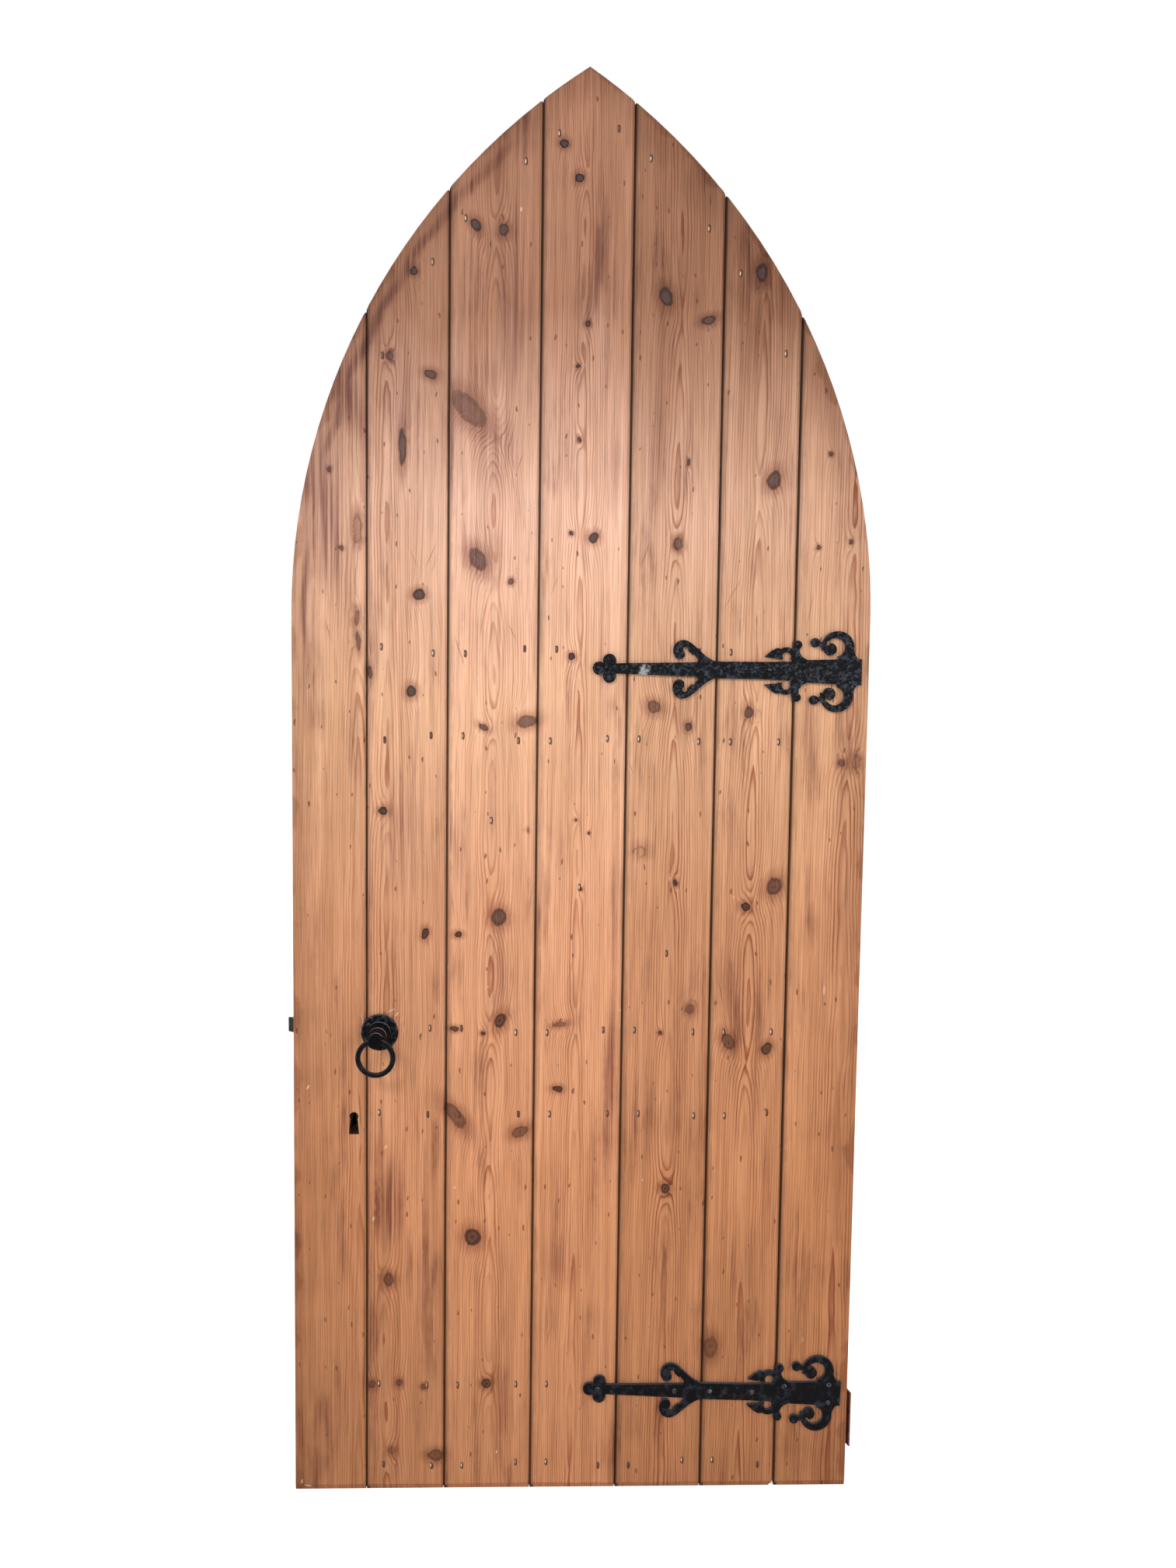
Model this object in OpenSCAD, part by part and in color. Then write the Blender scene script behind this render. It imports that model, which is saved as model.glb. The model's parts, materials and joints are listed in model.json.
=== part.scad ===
// Arched plank door leaf, hung on two butt hinges.
// Two stiles and five tongued boards are nailed to three ledges and an arched head.
// Cast hinge fronts, a ring handle, a rim latch and a rim lock are fixed to it.
// Z = 0 is the foot, X = 0 the middle of the leaf and Y = 0 the middle of its boards.
// The front looks along -Y and the hinges are on the +X side.

/* [Leaf] */
// Width of the leaf
leaf_w = 796; // [740:1:880]
// Height of the leaf at the point of its arch
leaf_h = 1981; // [1900:1:2100]
// Height of the springing line of the arch
spring_h = 1252; // [1240:1:1300]
// Thickness of the leaf, which is that of its stiles
leaf_t = 44; // [42:1:54]
// Width of the lock stile
lock_stile_w = 101; // [98:1:110]
// Width of the hinge stile
hinge_stile_w = 105; // [95:1:115]

/* [Boards] */
// Thickness of the boards
board_t = 20; // [18:1:22]
// Gap that shows between two boards
board_gap = 1.2; // [0.6:0.1:2]
// Width of the bevel along each edge of a board
vee = 2.8; // [2:0.1:4]
// Thickness of a tongue
tongue_t = 6; // [5:0.5:7]
// Length of a tongue
tongue_l = 7; // [5:0.5:8]
// Clearance of a tongue in its groove
tongue_fit = 0.2; // [0.1:0.05:0.4]
// Height of the worn bevel along the foot
foot_bevel_h = 8; // [4:0.5:12]
// Depth of the worn bevel along the foot
foot_bevel_d = 2.4; // [1:0.1:4]
// Height of the chip broken out beside the hinge stile
chip_h = 8.5; // [4:0.5:10]
// Width of the chip broken out beside the hinge stile
chip_w = 8; // [4:0.5:12]

/* [Ledges, head and braces] */
// Height of a ledge
ledge_h = 170; // [160:1:176]
// Height of the middle of the bottom ledge
bottom_ledge_z = 97; // [92:1:110]
// Height of the middle of the lock ledge
lock_ledge_z = 615; // [605:1:618]
// Height of the middle of the upper ledge
upper_ledge_z = 1146; // [1130:1:1160]
// Length of a tenon
tenon_l = 42; // [30:1:50]
// Thickness of a tenon
tenon_t = 12; // [10:1:14]
// Height of a tenon
tenon_h = 100; // [80:1:104]
// Width of the arched head rails
head_w = 90; // [75:1:110]
// Length of the end of a brace along its ledge
brace_foot = 110; // [80:1:140]

/* [Nails] */
// Width of a cut nail
nail_w = 3.2; // [2:0.1:4]
// Height of a cut nail
nail_h = 9; // [5:0.1:11]
// Length of a cut nail
nail_l = 38; // [30:1:40]
// Depth of a nail's head under the face
nail_sink = 0.8; // [0.4:0.1:1.5]
// Distance of the nail rows from the middle of a ledge
nail_row = 60; // [50:1:66]
// Distance of a nail from the edge of its board
nail_inset = 22; // [18:1:26]
// Distance of the head's nails from the edge of the arch
head_nail_inset = 44; // [35:1:55]
// How far a nail strays from its row
nail_stray = 4; // [0:0.5:6]

/* [Hinge fronts] */
// Length of a hinge front
front_len = 373; // [360:1:378]
// Thickness of a hinge front
front_t = 5; // [4:0.1:7]
// Distance of a hinge front's square end from the edge of the leaf
front_inset = 11; // [8:1:16]
// Height of the middle of the upper hinge front
upper_front_z = 1184; // [1175:1:1192]
// Height of the middle of the lower hinge front
lower_front_z = 142; // [138:1:146]
// Droop of the upper hinge front towards the hinge edge, in degrees
upper_front_droop = 0.1; // [0.1:0.1:2]
// Droop of the lower hinge front towards the hinge edge, in degrees
lower_front_droop = 1.5; // [0:0.1:2]
// Length of a hinge front's screws
front_screw_l = 16; // [12:1:18]
// Radius of a hinge front's screws
front_screw_r = 1.9; // [1.5:0.1:2.2]

/* [Butt hinges] */
// Height of a butt hinge
butt_h = 82; // [76:1:90]
// Width of a hinge leaf from the middle of its pin
butt_w = 32; // [28:1:36]
// Thickness of a hinge leaf
butt_t = 2.4; // [2:0.1:3]
// Gap between the two leaves of a closed hinge
butt_gap = 1; // [0.6:0.1:1.6]
// Radius of a knuckle
knuckle_r = 4.5; // [4.2:0.1:5.5]
// Radius of a hinge pin
pin_r = 2.4; // [2:0.1:2.8]
// Running clearance of a hinge pin
pin_fit = 0.05; // [0.02:0.01:0.1]
// Distance of a butt hinge's middle below that of its hinge front
butt_drop = 53; // [48:1:60]
// Distance between the screw holes of a hinge leaf
butt_screw_pitch = 21; // [18:0.5:23]
// Radius of the screw holes of a hinge leaf
butt_hole_r = 2.3; // [2:0.1:2.6]
// Length of a hinge screw
butt_screw_l = 24; // [18:1:30]
// How far the loose lower jamb leaf stands open, in degrees
lower_leaf_ajar = 14.5; // [5:0.5:30]

/* [Ring handle] */
// Distance of the spindle from the lock edge
spindle_backset = 120; // [119:0.5:124]
// Height of the spindle
spindle_z = 672; // [668:1:674]
// Side of the square spindle
spindle_w = 8; // [7:0.5:9]
// Radius of the hole for the spindle in the leaf
spindle_hole_r = 8.5; // [8:0.5:9]
// Radius of the rose
rose_r = 26; // [24:0.5:30]
// Thickness of the rose
rose_t = 3; // [2:0.1:4]
// Length of the ridged boss from the face of the leaf
boss_l = 52; // [48:1:58]
// Radius of the boss at its root
boss_root_r = 16.5; // [15:0.5:17]
// Radius of the boss at its tip
boss_tip_r = 9; // [8.5:0.1:10]
// Distance of the ring's hole from the face of the leaf
ring_y = 44; // [42:1:46]
// Outside diameter of the ring
ring_d = 55; // [52:1:62]
// Radius of the ring's bar
ring_bar_r = 3.6; // [3.2:0.1:3.8]
// Diameter of the inner knob
knob_d = 44; // [38:1:50]
// Length of the inner knob behind the latch
knob_l = 46; // [40:1:56]

/* [Rim latch] */
// Length of the latch case
latch_len = 160; // [158:1:170]
// Height of the latch case
latch_h = 60; // [56:0.5:60]
// Depth of the latch case
latch_depth = 18; // [17.5:0.5:22]
// Wall of the latch and lock cases
case_wall = 2; // [1.6:0.1:2.4]
// Thickness of the plates under the cases
plate_t = 1.5; // [1:0.1:2]
// Height of the latch bolt
latch_bolt_h = 20.5; // [18:0.5:22]
// Thickness of the latch bolt
latch_bolt_t = 11; // [10:0.5:11.5]
// How far the latch bolt stands out of the leaf's edge
latch_out = 18; // [15:0.5:18.5]
// Travel of the latch bolt
latch_throw = 16; // [14:0.5:16]
// Distance of the latch bolt below the spindle
latch_bolt_drop = 4; // [0:0.5:5]

/* [Rim lock] */
// Distance of the keyhole from the lock edge
key_backset = 84; // [82:0.5:86]
// Height of the round of the keyhole
key_z = 551; // [548:1:554]
// Radius of the round of the keyhole
key_r = 6.2; // [5:0.1:6.8]
// Height of the keyhole's slot below the middle of its round
key_slot_h = 26; // [22:1:28]
// Width of the keyhole's slot at its foot
key_slot_w = 14.5; // [10:0.5:15]
// Radius of the round of the lock's own, closer keyhole
key_slit_r = 4.2; // [4:0.1:4.6]
// Width of the slot of the lock's own keyhole
key_slit_w = 5.6; // [5.4:0.1:6.5]
// Length of the lock case
lock_len = 100; // [98:0.5:101]
// Height of the lock case
lock_h = 90; // [88:1:94]
// Height of the middle of the lock case
lock_z = 545; // [542:1:547]
// Depth of the lock case
lock_depth = 16; // [15:0.5:20]
// Height of the dead bolt
dead_bolt_h = 20; // [16:0.5:21]
// Thickness of the dead bolt
dead_bolt_t = 10; // [8:0.5:10.5]
// Travel of the dead bolt
dead_bolt_throw = 16; // [12:0.5:16]

/* [Hidden] */
$fn = 64;

pine = [0.80, 0.57, 0.38];
pine_back = [0.72, 0.50, 0.32];
black_iron = [0.07, 0.07, 0.09];
rusty_iron = [0.33, 0.20, 0.14];
worn_steel = [0.42, 0.41, 0.40];

// How far every cut runs past the face it opens
overrun = 1;

// Arch: two arcs struck from points on the springing line
half_w = leaf_w / 2;
rise = leaf_h - spring_h;
arc_off = (rise * rise - half_w * half_w) / leaf_w;
arc_r = arc_off + half_w;
arc_facets = 720;

// Joints between the stiles and the boards, from the lock side
board_shares = [0.188, 0.21, 0.209, 0.21, 0.183];
board_count = len(board_shares);
clear_w = leaf_w - lock_stile_w - hinge_stile_w;
function sum_first(list, count, i = 0) = i >= count ? 0 : list[i] + sum_first(list, count, i + 1);
joint_x = [for (i = [0 : board_count]) -half_w + lock_stile_w + clear_w * sum_first(board_shares, i)];
inner_left = joint_x[0] - board_gap / 2;
inner_right = joint_x[board_count] + board_gap / 2;
tongue_y = (board_t - tongue_t) / 2;
groove_d = tongue_l - board_gap + tongue_fit;

// Spindle of the ring handle
spindle_x = -half_w + spindle_backset;

// Ledges
ledge_levels = [bottom_ledge_z, lock_ledge_z, upper_ledge_z];
ledge_y = (board_t + leaf_t) / 2;

// Nails: two a board along every row, and others along the arched head and the upper brace
function stray(i, turn) = nail_stray * sin(i * turn);
front_bar_clear = 22;
front_end_x = half_w - front_inset;
function bar_z(x, z, droop) = z + (front_end_x - x) * sin(droop);
function under_bar(p) =
  p[0] > front_end_x - front_len
  && min(
    abs(p[1] - bar_z(p[0], upper_front_z, upper_front_droop)),
    abs(p[1] - bar_z(p[0], lower_front_z, lower_front_droop))
  ) < front_bar_clear;
function under_rose(p) = norm(p - [spindle_x, spindle_z]) < rose_r + nail_h;
function board_edge(i, side) = side > 0 ? joint_x[i + 1] : joint_x[i];
ledge_nail_places = [
  for (k = [0 : len(ledge_levels) - 1], row = [-1, 1], i = [0 : board_count - 1], side = [-1, 1])
    let (
      n = ((k * 2 + row) * board_count + i) * 2 + side,
      place = [
        board_edge(i, side) - side * nail_inset + stray(n, 151),
        ledge_levels[k] + row * nail_row + stray(n, 97)
      ]
    )
    if (!under_bar(place) && !under_rose(place)) place
];
function head_z(x, inset) = spring_h + sqrt(pow(arc_r - inset, 2) - pow(abs(x) + arc_off, 2));
head_nail_places = [
  for (i = [0 : board_count - 1], side = [-1, 1])
    let (x = board_edge(i, side) - side * nail_inset)
    [x, head_z(x, head_nail_inset) + stray(i * 2 + side, 97)]
];
upper_brace_z = [lock_ledge_z + ledge_h / 2, upper_ledge_z - ledge_h / 2];
lower_brace_z = [bottom_ledge_z + ledge_h / 2, lock_ledge_z - ledge_h / 2];
brace_nail_places = [
  for (i = [1 : board_count - 2])
    let (
      x = (joint_x[i] + joint_x[i + 1]) / 2,
      along = (inner_right - brace_foot / 2 - x) / (inner_right - inner_left - brace_foot)
    )
    [x, upper_brace_z[0] + along * (upper_brace_z[1] - upper_brace_z[0])]
];
nail_places = concat(ledge_nail_places, head_nail_places, brace_nail_places);

// Hinge front, as shares of its length from the middle of its square end; the tip lies along -x
bar_shares = [
  [0, 0.048], [-0.032, 0.048], [-0.2, 0.042], [-0.25, 0.036], [-0.36, 0.0325],
  [-0.545, 0.0312], [-0.6, 0.0275], [-0.89, 0.0195], [-0.95, 0.018]
];
tip_lobe_shares = [[-0.976, 0], [-0.938, 0.029], [-0.938, -0.029]];
tip_lobe_r_share = 0.0243;
tip_eye_share = [-0.945, 0];
tip_eye_r_share = 0.023;
scroll_share = [-0.091, 0.089];
scroll_r_share = 0.0612;
scroll_hollow_share = [-0.098, 0.09];
scroll_hollow_r_share = 0.0345;
scroll_mouth_shares = [[-0.098, 0.09], [-0.2, 0.066], [-0.2, 0.02], [-0.083, 0.02]];
volute_share = [-0.119, 0.0825];
volute_r_share = 0.0232;
volute_eye_share = [-0.1275, 0.104];
volute_eye_r_share = 0.007;
scroll_arm_shares = [
  [-0.008, 0.044], [-0.018, 0.051], [-0.026, 0.065], [-0.034, 0.092], [-0.058, 0.092],
  [-0.064, 0.07], [-0.074, 0.058], [-0.097, 0.042]
];
tail_ball_share = [-0.176, 0.106];
tail_ball_r_share = 0.0172;
tail_neck_shares = [[-0.176, 0.115], [-0.147, 0.108], [-0.147, 0.092], [-0.176, 0.097]];
sprig_ball_share = [-0.241, 0.097];
sprig_ball_r_share = 0.0158;
sprig_stem_shares = [
  [-0.192, 0.036], [-0.222, 0.052], [-0.234, 0.069], [-0.2345, 0.09], [-0.25, 0.0935], [-0.262, 0.074],
  [-0.26, 0.055], [-0.256, 0.034]
];
sprig_arch_share = [-0.281, 0.053];
sprig_arch_r_share = 0.035;
sprig_hollow_r_share = 0.0165;
sprig_foot_share = 0.043;
leaf_belly_share = [-0.314, 0.0655];
leaf_belly_r_share = 0.0185;
leaf_tip_shares = [[-0.31, 0.079], [-0.334, 0.0765], [-0.363, 0.0515], [-0.33, 0.0465], [-0.306, 0.05]];
horn_arm_shares = [
  [-0.53, 0.026], [-0.56, 0.037], [-0.583, 0.051], [-0.636, 0.0975], [-0.655, 0.105],
  [-0.66, 0.08], [-0.641, 0.075], [-0.609, 0.0365], [-0.615, 0.024]
];
horn_share = [-0.665, 0.0697];
horn_r_share = 0.0383;
horn_eye_share = [-0.658, 0.073];
horn_eye_r_share = 0.0097;
horn_mouth_shares = [
  [-0.664, 0.073], [-0.652, 0.073], [-0.613, 0.0375], [-0.618, 0.02], [-0.72, 0.02], [-0.72, 0.043],
  [-0.665, 0.043]
];
horn_ball_share = [-0.679, 0.0556];
horn_ball_r_share = 0.0193;
front_screw_shares = [
  [-0.945, 0], [-0.646, 0], [-0.509, 0], [-0.345, 0], [-0.22, 0.026], [-0.046, 0.036], [-0.046, -0.036]
];
screw_head_r_share = 1.9;
screw_head_h_share = 0.85;
slot_w_share = 0.35;

// Butt hinges
pin_x = half_w + butt_gap / 2;
knuckle_clear = 0.5;
pin_y = leaf_t + knuckle_r + knuckle_clear;
knuckle_count = 5;
knuckle_gap = 0.3;
knuckle_step = (butt_h + knuckle_gap) / knuckle_count;
pin_button_h = 2;
butt_sink_r = butt_hole_r * 1.9;
butt_sink_h = butt_t * 0.75;
upper_butt_z = upper_front_z - butt_drop;
lower_butt_z = lower_front_z - butt_drop;
butt_hole_count = 4;
butt_hole_y = leaf_t - (leaf_t - pin_y + butt_w) / 2;

// Ring handle
spindle_fit = 0.1;
running_fit = 0.06;
boss_gap = 0.3;
boss_journal_r = 9;
boss_ridges = 6;
boss_groove_share = 0.14;
socket_l = boss_l / 2;
ring_r = ring_d / 2 - ring_bar_r;
ring_hole_r = ring_bar_r + boss_tip_r * boss_tip_r / (2 * ring_r) + 2 * boss_gap;
rose_screw_turn = 75;
rose_screw_ring_share = 0.8;
rose_screw_r = 1.8;
rose_screw_l = 14;
knob_neck_r = 9;
knob_grip = 22;
knob_pin_r = 1.5;

// Rim latch
latch_y = leaf_t + plate_t;
latch_back = leaf_t + latch_depth;
latch_end_x = -half_w + latch_len;
case_screw_inset = 9;
latch_screw_drop = 7;
lock_screw_drop = 5;
case_screw_r = 2.2;
case_screw_l = 32;
bolt_fit = 0.4;
latch_bolt_y = latch_y + bolt_fit;
latch_bolt_z = spindle_z - latch_bolt_drop;
latch_head_l = 42;
follower_r = 11;
follower_journal_r = 8;
follower_t = 6.5;
follower_arm_w = 6;
follower_arm_r = 22;
tail_t = 4;
tail_y = latch_y + follower_t + 2 * bolt_fit;
tail_low = 14;
tail_high = 18;
tail_past = 16;
tail_slot = follower_journal_r + boss_gap;
lug_w = 5;
lug_low = 11.3;
spring_t = 1;
latch_spring_r = (latch_end_x - case_wall - spindle_x - tail_past) / 2;

// Rim lock
lock_y = leaf_t + plate_t;
lock_back = leaf_t + lock_depth;
lock_end_x = -half_w + lock_len;
key_x = -half_w + key_backset;
key_neck_share = 0.78;
dead_bolt_y = lock_y + bolt_fit;
dead_bolt_set = 0.5;
dead_bolt_l = lock_len - case_wall - dead_bolt_set - bolt_fit * 6;
lock_spring_rise = 8;
lock_spring_half = 20;
dead_bolt_top = lock_z + lock_h / 2 - case_wall - lock_spring_rise;
talon_w = 12;
talon_h = 5;
lock_spring_r = (pow(lock_spring_half, 2) + pow(lock_spring_rise - bolt_fit, 2))
  / (2 * (lock_spring_rise - bolt_fit));

// Puts the origin on the foot, in the middle of the boards
module placed() {
  translate([0, -board_t / 2, 0]) children();
}

// An outline in X and Z, given thickness from y0 back to y1
module slab(y0, y1) {
  translate([0, y1, 0]) rotate([90, 0, 0]) linear_extrude(y1 - y0) children();
}

// A round bar along Y from y0 back to y1
module bar_y(x, z, r, y0, y1) {
  translate([x, y0, z]) rotate([-90, 0, 0]) cylinder(r = r, h = y1 - y0);
}

module block(low, high) {
  translate(low) cube(high - low);
}

module leaf_outline() {
  translate([-half_w, 0]) square([leaf_w, spring_h]);
  arch(arc_r, half_w, rise + overrun);
}

// The space inside both arcs, above the springing line
module arch(r, half, high) {
  intersection() {
    translate([arc_off, spring_h]) circle(r = r, $fn = arc_facets);
    translate([-arc_off, spring_h]) circle(r = r, $fn = arc_facets);
    translate([-half, spring_h]) square([2 * half, high]);
  }
}

// Edges of the boards in plan: a groove on the lock side, a tongue on the hinge side
function groove_side(x, back) = [
  [x, back], [x, tongue_y + tongue_t + tongue_fit], [x + groove_d, tongue_y + tongue_t + tongue_fit],
  [x + groove_d, tongue_y - tongue_fit], [x, tongue_y - tongue_fit], [x, vee], [x + vee, 0]
];
function tongue_side(x, back) = [
  [x - vee, 0], [x, vee], [x, tongue_y], [x + tongue_l, tongue_y], [x + tongue_l, tongue_y + tongue_t],
  [x, tongue_y + tongue_t], [x, back]
];
function plain_lock_side(x, back) = [[x, back], [x, 0]];
function plain_hinge_side(x, back) = [[x, 0], [x, back]];

// A stile or board: its plan run up to the outline of the leaf, with the worn foot
module plank(lock_side, hinge_side) {
  difference() {
    intersection() {
      slab(-overrun, leaf_t + overrun) leaf_outline();
      translate([0, 0, -overrun]) linear_extrude(leaf_h + 2 * overrun)
        polygon(concat(lock_side, hinge_side));
    }
    foot_bevel();
    foot_chip();
  }
}

module foot_bevel() {
  slope = foot_bevel_d / foot_bevel_h;
  translate([-half_w - overrun, 0, 0]) rotate([90, 0, 90]) linear_extrude(leaf_w + 2 * overrun)
    polygon([
      [-overrun, -overrun], [foot_bevel_d + slope * overrun, -overrun],
      [-overrun, foot_bevel_h + overrun / slope]
    ]);
}

module foot_chip() {
  x = joint_x[board_count];
  slab(-overrun, leaf_t + overrun)
    polygon([[x - chip_w, -overrun], [x + board_gap, -overrun], [x, chip_h]]);
}

module nail_blocks(places, from, low, high) {
  for (p = places)
    if (p[0] > low[0] && p[0] < high[0] && p[1] > low[1] && p[1] < high[1])
      block([p[0] - nail_w / 2, from, p[1] - nail_h / 2], [p[0] + nail_w / 2, nail_l, p[1] + nail_h / 2]);
}

module board(i) {
  left = joint_x[i] + board_gap / 2;
  right = joint_x[i + 1] - board_gap / 2;
  color(pine) difference() {
    plank(groove_side(left, board_t), tongue_side(right, board_t));
    nail_blocks(nail_places, -overrun, [left, 0], [right, leaf_h]);
    front_screw_bores(left, right + tongue_l);
    if (i == 0) handle_bores();
  }
}

module lock_stile() {
  color(pine) difference() {
    plank(plain_lock_side(-half_w - overrun, leaf_t), tongue_side(inner_left, leaf_t));
    for (z = ledge_levels) tenon(inner_left, -1, z);
    keyhole(-overrun, leaf_t + overrun);
    latch_screw_bars(0);
    lock_screw_bars(0);
  }
}

module hinge_stile() {
  color(pine) difference() {
    plank(groove_side(inner_right, leaf_t), plain_hinge_side(half_w + overrun, leaf_t));
    for (z = ledge_levels) tenon(inner_right, 1, z);
    for (z = [upper_butt_z, lower_butt_z]) {
      block(
        [half_w - butt_t, pin_y - butt_w, z - butt_h / 2],
        [half_w + overrun, leaf_t + overrun, z + butt_h / 2]
      );
      butt_screw_bars(z);
    }
    front_screw_bores(inner_right, half_w);
  }
}

module tenon(x, side, z) {
  block(
    [min(x, x + side * tenon_l), ledge_y - tenon_t / 2, z - tenon_h / 2],
    [max(x, x + side * tenon_l), ledge_y + tenon_t / 2, z + tenon_h / 2]
  );
}

module ledge(z) {
  color(pine_back) difference() {
    union() {
      block([inner_left, board_t, z - ledge_h / 2], [inner_right, leaf_t, z + ledge_h / 2]);
      tenon(inner_left, -1, z);
      tenon(inner_right, 1, z);
    }
    nail_blocks(
      nail_places, 0, [inner_left, z - ledge_h / 2 - nail_h], [inner_right, z + ledge_h / 2 + nail_h]
    );
    if (z == lock_ledge_z) {
      handle_bores();
      latch_screw_bars(0);
      lock_screw_bars(0);
    }
  }
}

// One half of the arched head, from its stile to the point of the arch
module head_rail(x0, x1) {
  color(pine_back) difference() {
    slab(board_t, leaf_t) intersection() {
      difference() {
        leaf_outline();
        arch(arc_r - head_w, half_w, rise);
      }
      translate([x0, spring_h]) square([x1 - x0, rise + overrun]);
    }
    nail_blocks(nail_places, 0, [x0, spring_h], [x1, leaf_h]);
  }
}

// A brace rises from the hinge stile to the lock stile between two ledges
module brace(span) {
  color(pine_back) difference() {
    slab(board_t, leaf_t) polygon([
      [inner_right - brace_foot, span[0]], [inner_right, span[0]],
      [inner_left + brace_foot, span[1]], [inner_left, span[1]]
    ]);
    nail_blocks(brace_nail_places, 0, [inner_left, span[0]], [inner_right, span[1]]);
  }
}

module nails(places) {
  color(black_iron) nail_blocks(places, nail_sink, [-half_w, 0], [half_w, leaf_h]);
}

// The branches of a hinge front above its middle line
module front_half() {
  difference() {
    union() {
      difference() {
        translate(front_len * scroll_share) circle(r = front_len * scroll_r_share);
        translate(front_len * scroll_hollow_share) circle(r = front_len * scroll_hollow_r_share);
        polygon(front_len * scroll_mouth_shares);
      }
      translate(front_len * volute_share) circle(r = front_len * volute_r_share);
    }
    translate(front_len * volute_eye_share) circle(r = front_len * volute_eye_r_share);
  }
  polygon(front_len * scroll_arm_shares);
  translate(front_len * tail_ball_share) circle(r = front_len * tail_ball_r_share);
  polygon(front_len * tail_neck_shares);
  sprig_half();
  horn_half();
}

// The leaf-ended branch behind the scroll
module sprig_half() {
  translate(front_len * sprig_ball_share) circle(r = front_len * sprig_ball_r_share);
  difference() {
    union() {
      polygon(front_len * sprig_stem_shares);
      intersection() {
        translate(front_len * sprig_arch_share) circle(r = front_len * sprig_arch_r_share);
        translate(front_len * [sprig_arch_share[0] - 2 * sprig_arch_r_share, sprig_foot_share])
          square(front_len * sprig_arch_r_share * 4);
      }
      translate(front_len * leaf_belly_share) circle(r = front_len * leaf_belly_r_share);
      polygon(front_len * leaf_tip_shares);
    }
    translate(front_len * sprig_arch_share) circle(r = front_len * sprig_hollow_r_share);
  }
}

// The plain curled branch at the middle of the bar
module horn_half() {
  difference() {
    union() {
      translate(front_len * horn_share) circle(r = front_len * horn_r_share);
      polygon(front_len * horn_arm_shares);
    }
    translate(front_len * horn_eye_share) circle(r = front_len * horn_eye_r_share);
    polygon(front_len * horn_mouth_shares);
  }
  translate(front_len * horn_ball_share) circle(r = front_len * horn_ball_r_share);
}

module front_outline() {
  last = len(bar_shares) - 1;
  lower_shares = [for (i = [last : -1 : 0]) [bar_shares[i][0], -bar_shares[i][1]]];
  polygon(front_len * concat(bar_shares, lower_shares));
  front_half();
  mirror([0, 1]) front_half();
  for (p = tip_lobe_shares) translate(front_len * p) circle(r = front_len * tip_lobe_r_share);
  translate(front_len * tip_eye_share) circle(r = front_len * tip_eye_r_share);
}

module front_place(z, droop) {
  translate([front_end_x, 0, z]) rotate([0, droop, 0]) children();
}

module hinge_front(z, droop) {
  color(black_iron) front_place(z, droop) difference() {
    slab(-front_t, 0) front_outline();
    for (p = front_screw_shares)
      bar_y(front_len * p[0], front_len * p[1], front_screw_r, -front_t - overrun, overrun);
  }
}

module front_screw_bars() {
  for (p = front_screw_shares)
    bar_y(front_len * p[0], front_len * p[1], front_screw_r, -front_t, front_screw_l - front_t);
}

module front_screw_bores(low_x, high_x) {
  for (place = [[upper_front_z, upper_front_droop], [lower_front_z, lower_front_droop]])
    for (p = front_screw_shares)
      if (front_end_x + front_len * p[0] > low_x - front_screw_r
          && front_end_x + front_len * p[0] < high_x + front_screw_r)
        front_place(place[0], place[1])
          bar_y(front_len * p[0], front_len * p[1], front_screw_r, -overrun, front_screw_l - front_t);
}

// A slotted dome head on the face at y, looking along -Y
module dome_head(x, z, y, r) {
  head_r = r * screw_head_r_share;
  head_h = r * screw_head_h_share;
  ball_r = (head_r * head_r + head_h * head_h) / (2 * head_h);
  difference() {
    intersection() {
      translate([x, y - head_h + ball_r, z]) sphere(r = ball_r);
      bar_y(x, z, head_r, y - head_h - overrun, y);
    }
    block([x - head_r - overrun, y - head_h - overrun, z - r * slot_w_share / 2],
      [x + head_r + overrun, y - head_h / 2, z + r * slot_w_share / 2]);
  }
}

module front_screws(z, droop) {
  color(black_iron) front_place(z, droop) {
    front_screw_bars();
    for (p = front_screw_shares)
      dome_head(front_len * p[0], front_len * p[1], -front_t, front_screw_r);
  }
}

// One leaf of a butt hinge, folded against the edge of the door; side is -1 on the door, 1 on the jamb
module butt_leaf(z, side) {
  x0 = pin_x + side * butt_gap / 2;
  x1 = x0 + side * butt_t;
  first = side < 0 ? 0 : 1;
  difference() {
    union() {
      block([min(x0, x1), pin_y - butt_w, z - butt_h / 2],
        [max(x0, x1), pin_y - knuckle_r - knuckle_clear, z + butt_h / 2]);
      for (k = [first : 2 : knuckle_count - 1])
        translate([0, 0, z - butt_h / 2 + k * knuckle_step]) {
          translate([pin_x, pin_y, 0]) cylinder(r = knuckle_r, h = knuckle_step - knuckle_gap);
          block([min(x0, x1), pin_y - knuckle_r - 2 * knuckle_clear, 0],
            [max(x0, x1), pin_y, knuckle_step - knuckle_gap]);
        }
    }
    translate([pin_x, pin_y, z - butt_h / 2 - overrun])
      cylinder(r = pin_r + pin_fit, h = butt_h + 2 * overrun);
    for (h = butt_hole_levels(z))
      translate([x0, butt_hole_y, h]) rotate([0, side * 90, 0]) {
        translate([0, 0, -overrun]) cylinder(r = butt_hole_r, h = butt_t + 2 * overrun);
        cylinder(r1 = butt_sink_r, r2 = butt_hole_r, h = butt_sink_h);
      }
  }
}

function butt_hole_levels(z) = [
  for (i = [0 : butt_hole_count - 1]) z + (i - (butt_hole_count - 1) / 2) * butt_screw_pitch
];

module jamb_leaf(z, ajar) {
  color(rusty_iron) translate([pin_x, pin_y, 0]) rotate([0, 0, ajar]) translate([-pin_x, -pin_y, 0])
    butt_leaf(z, 1);
}

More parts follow.
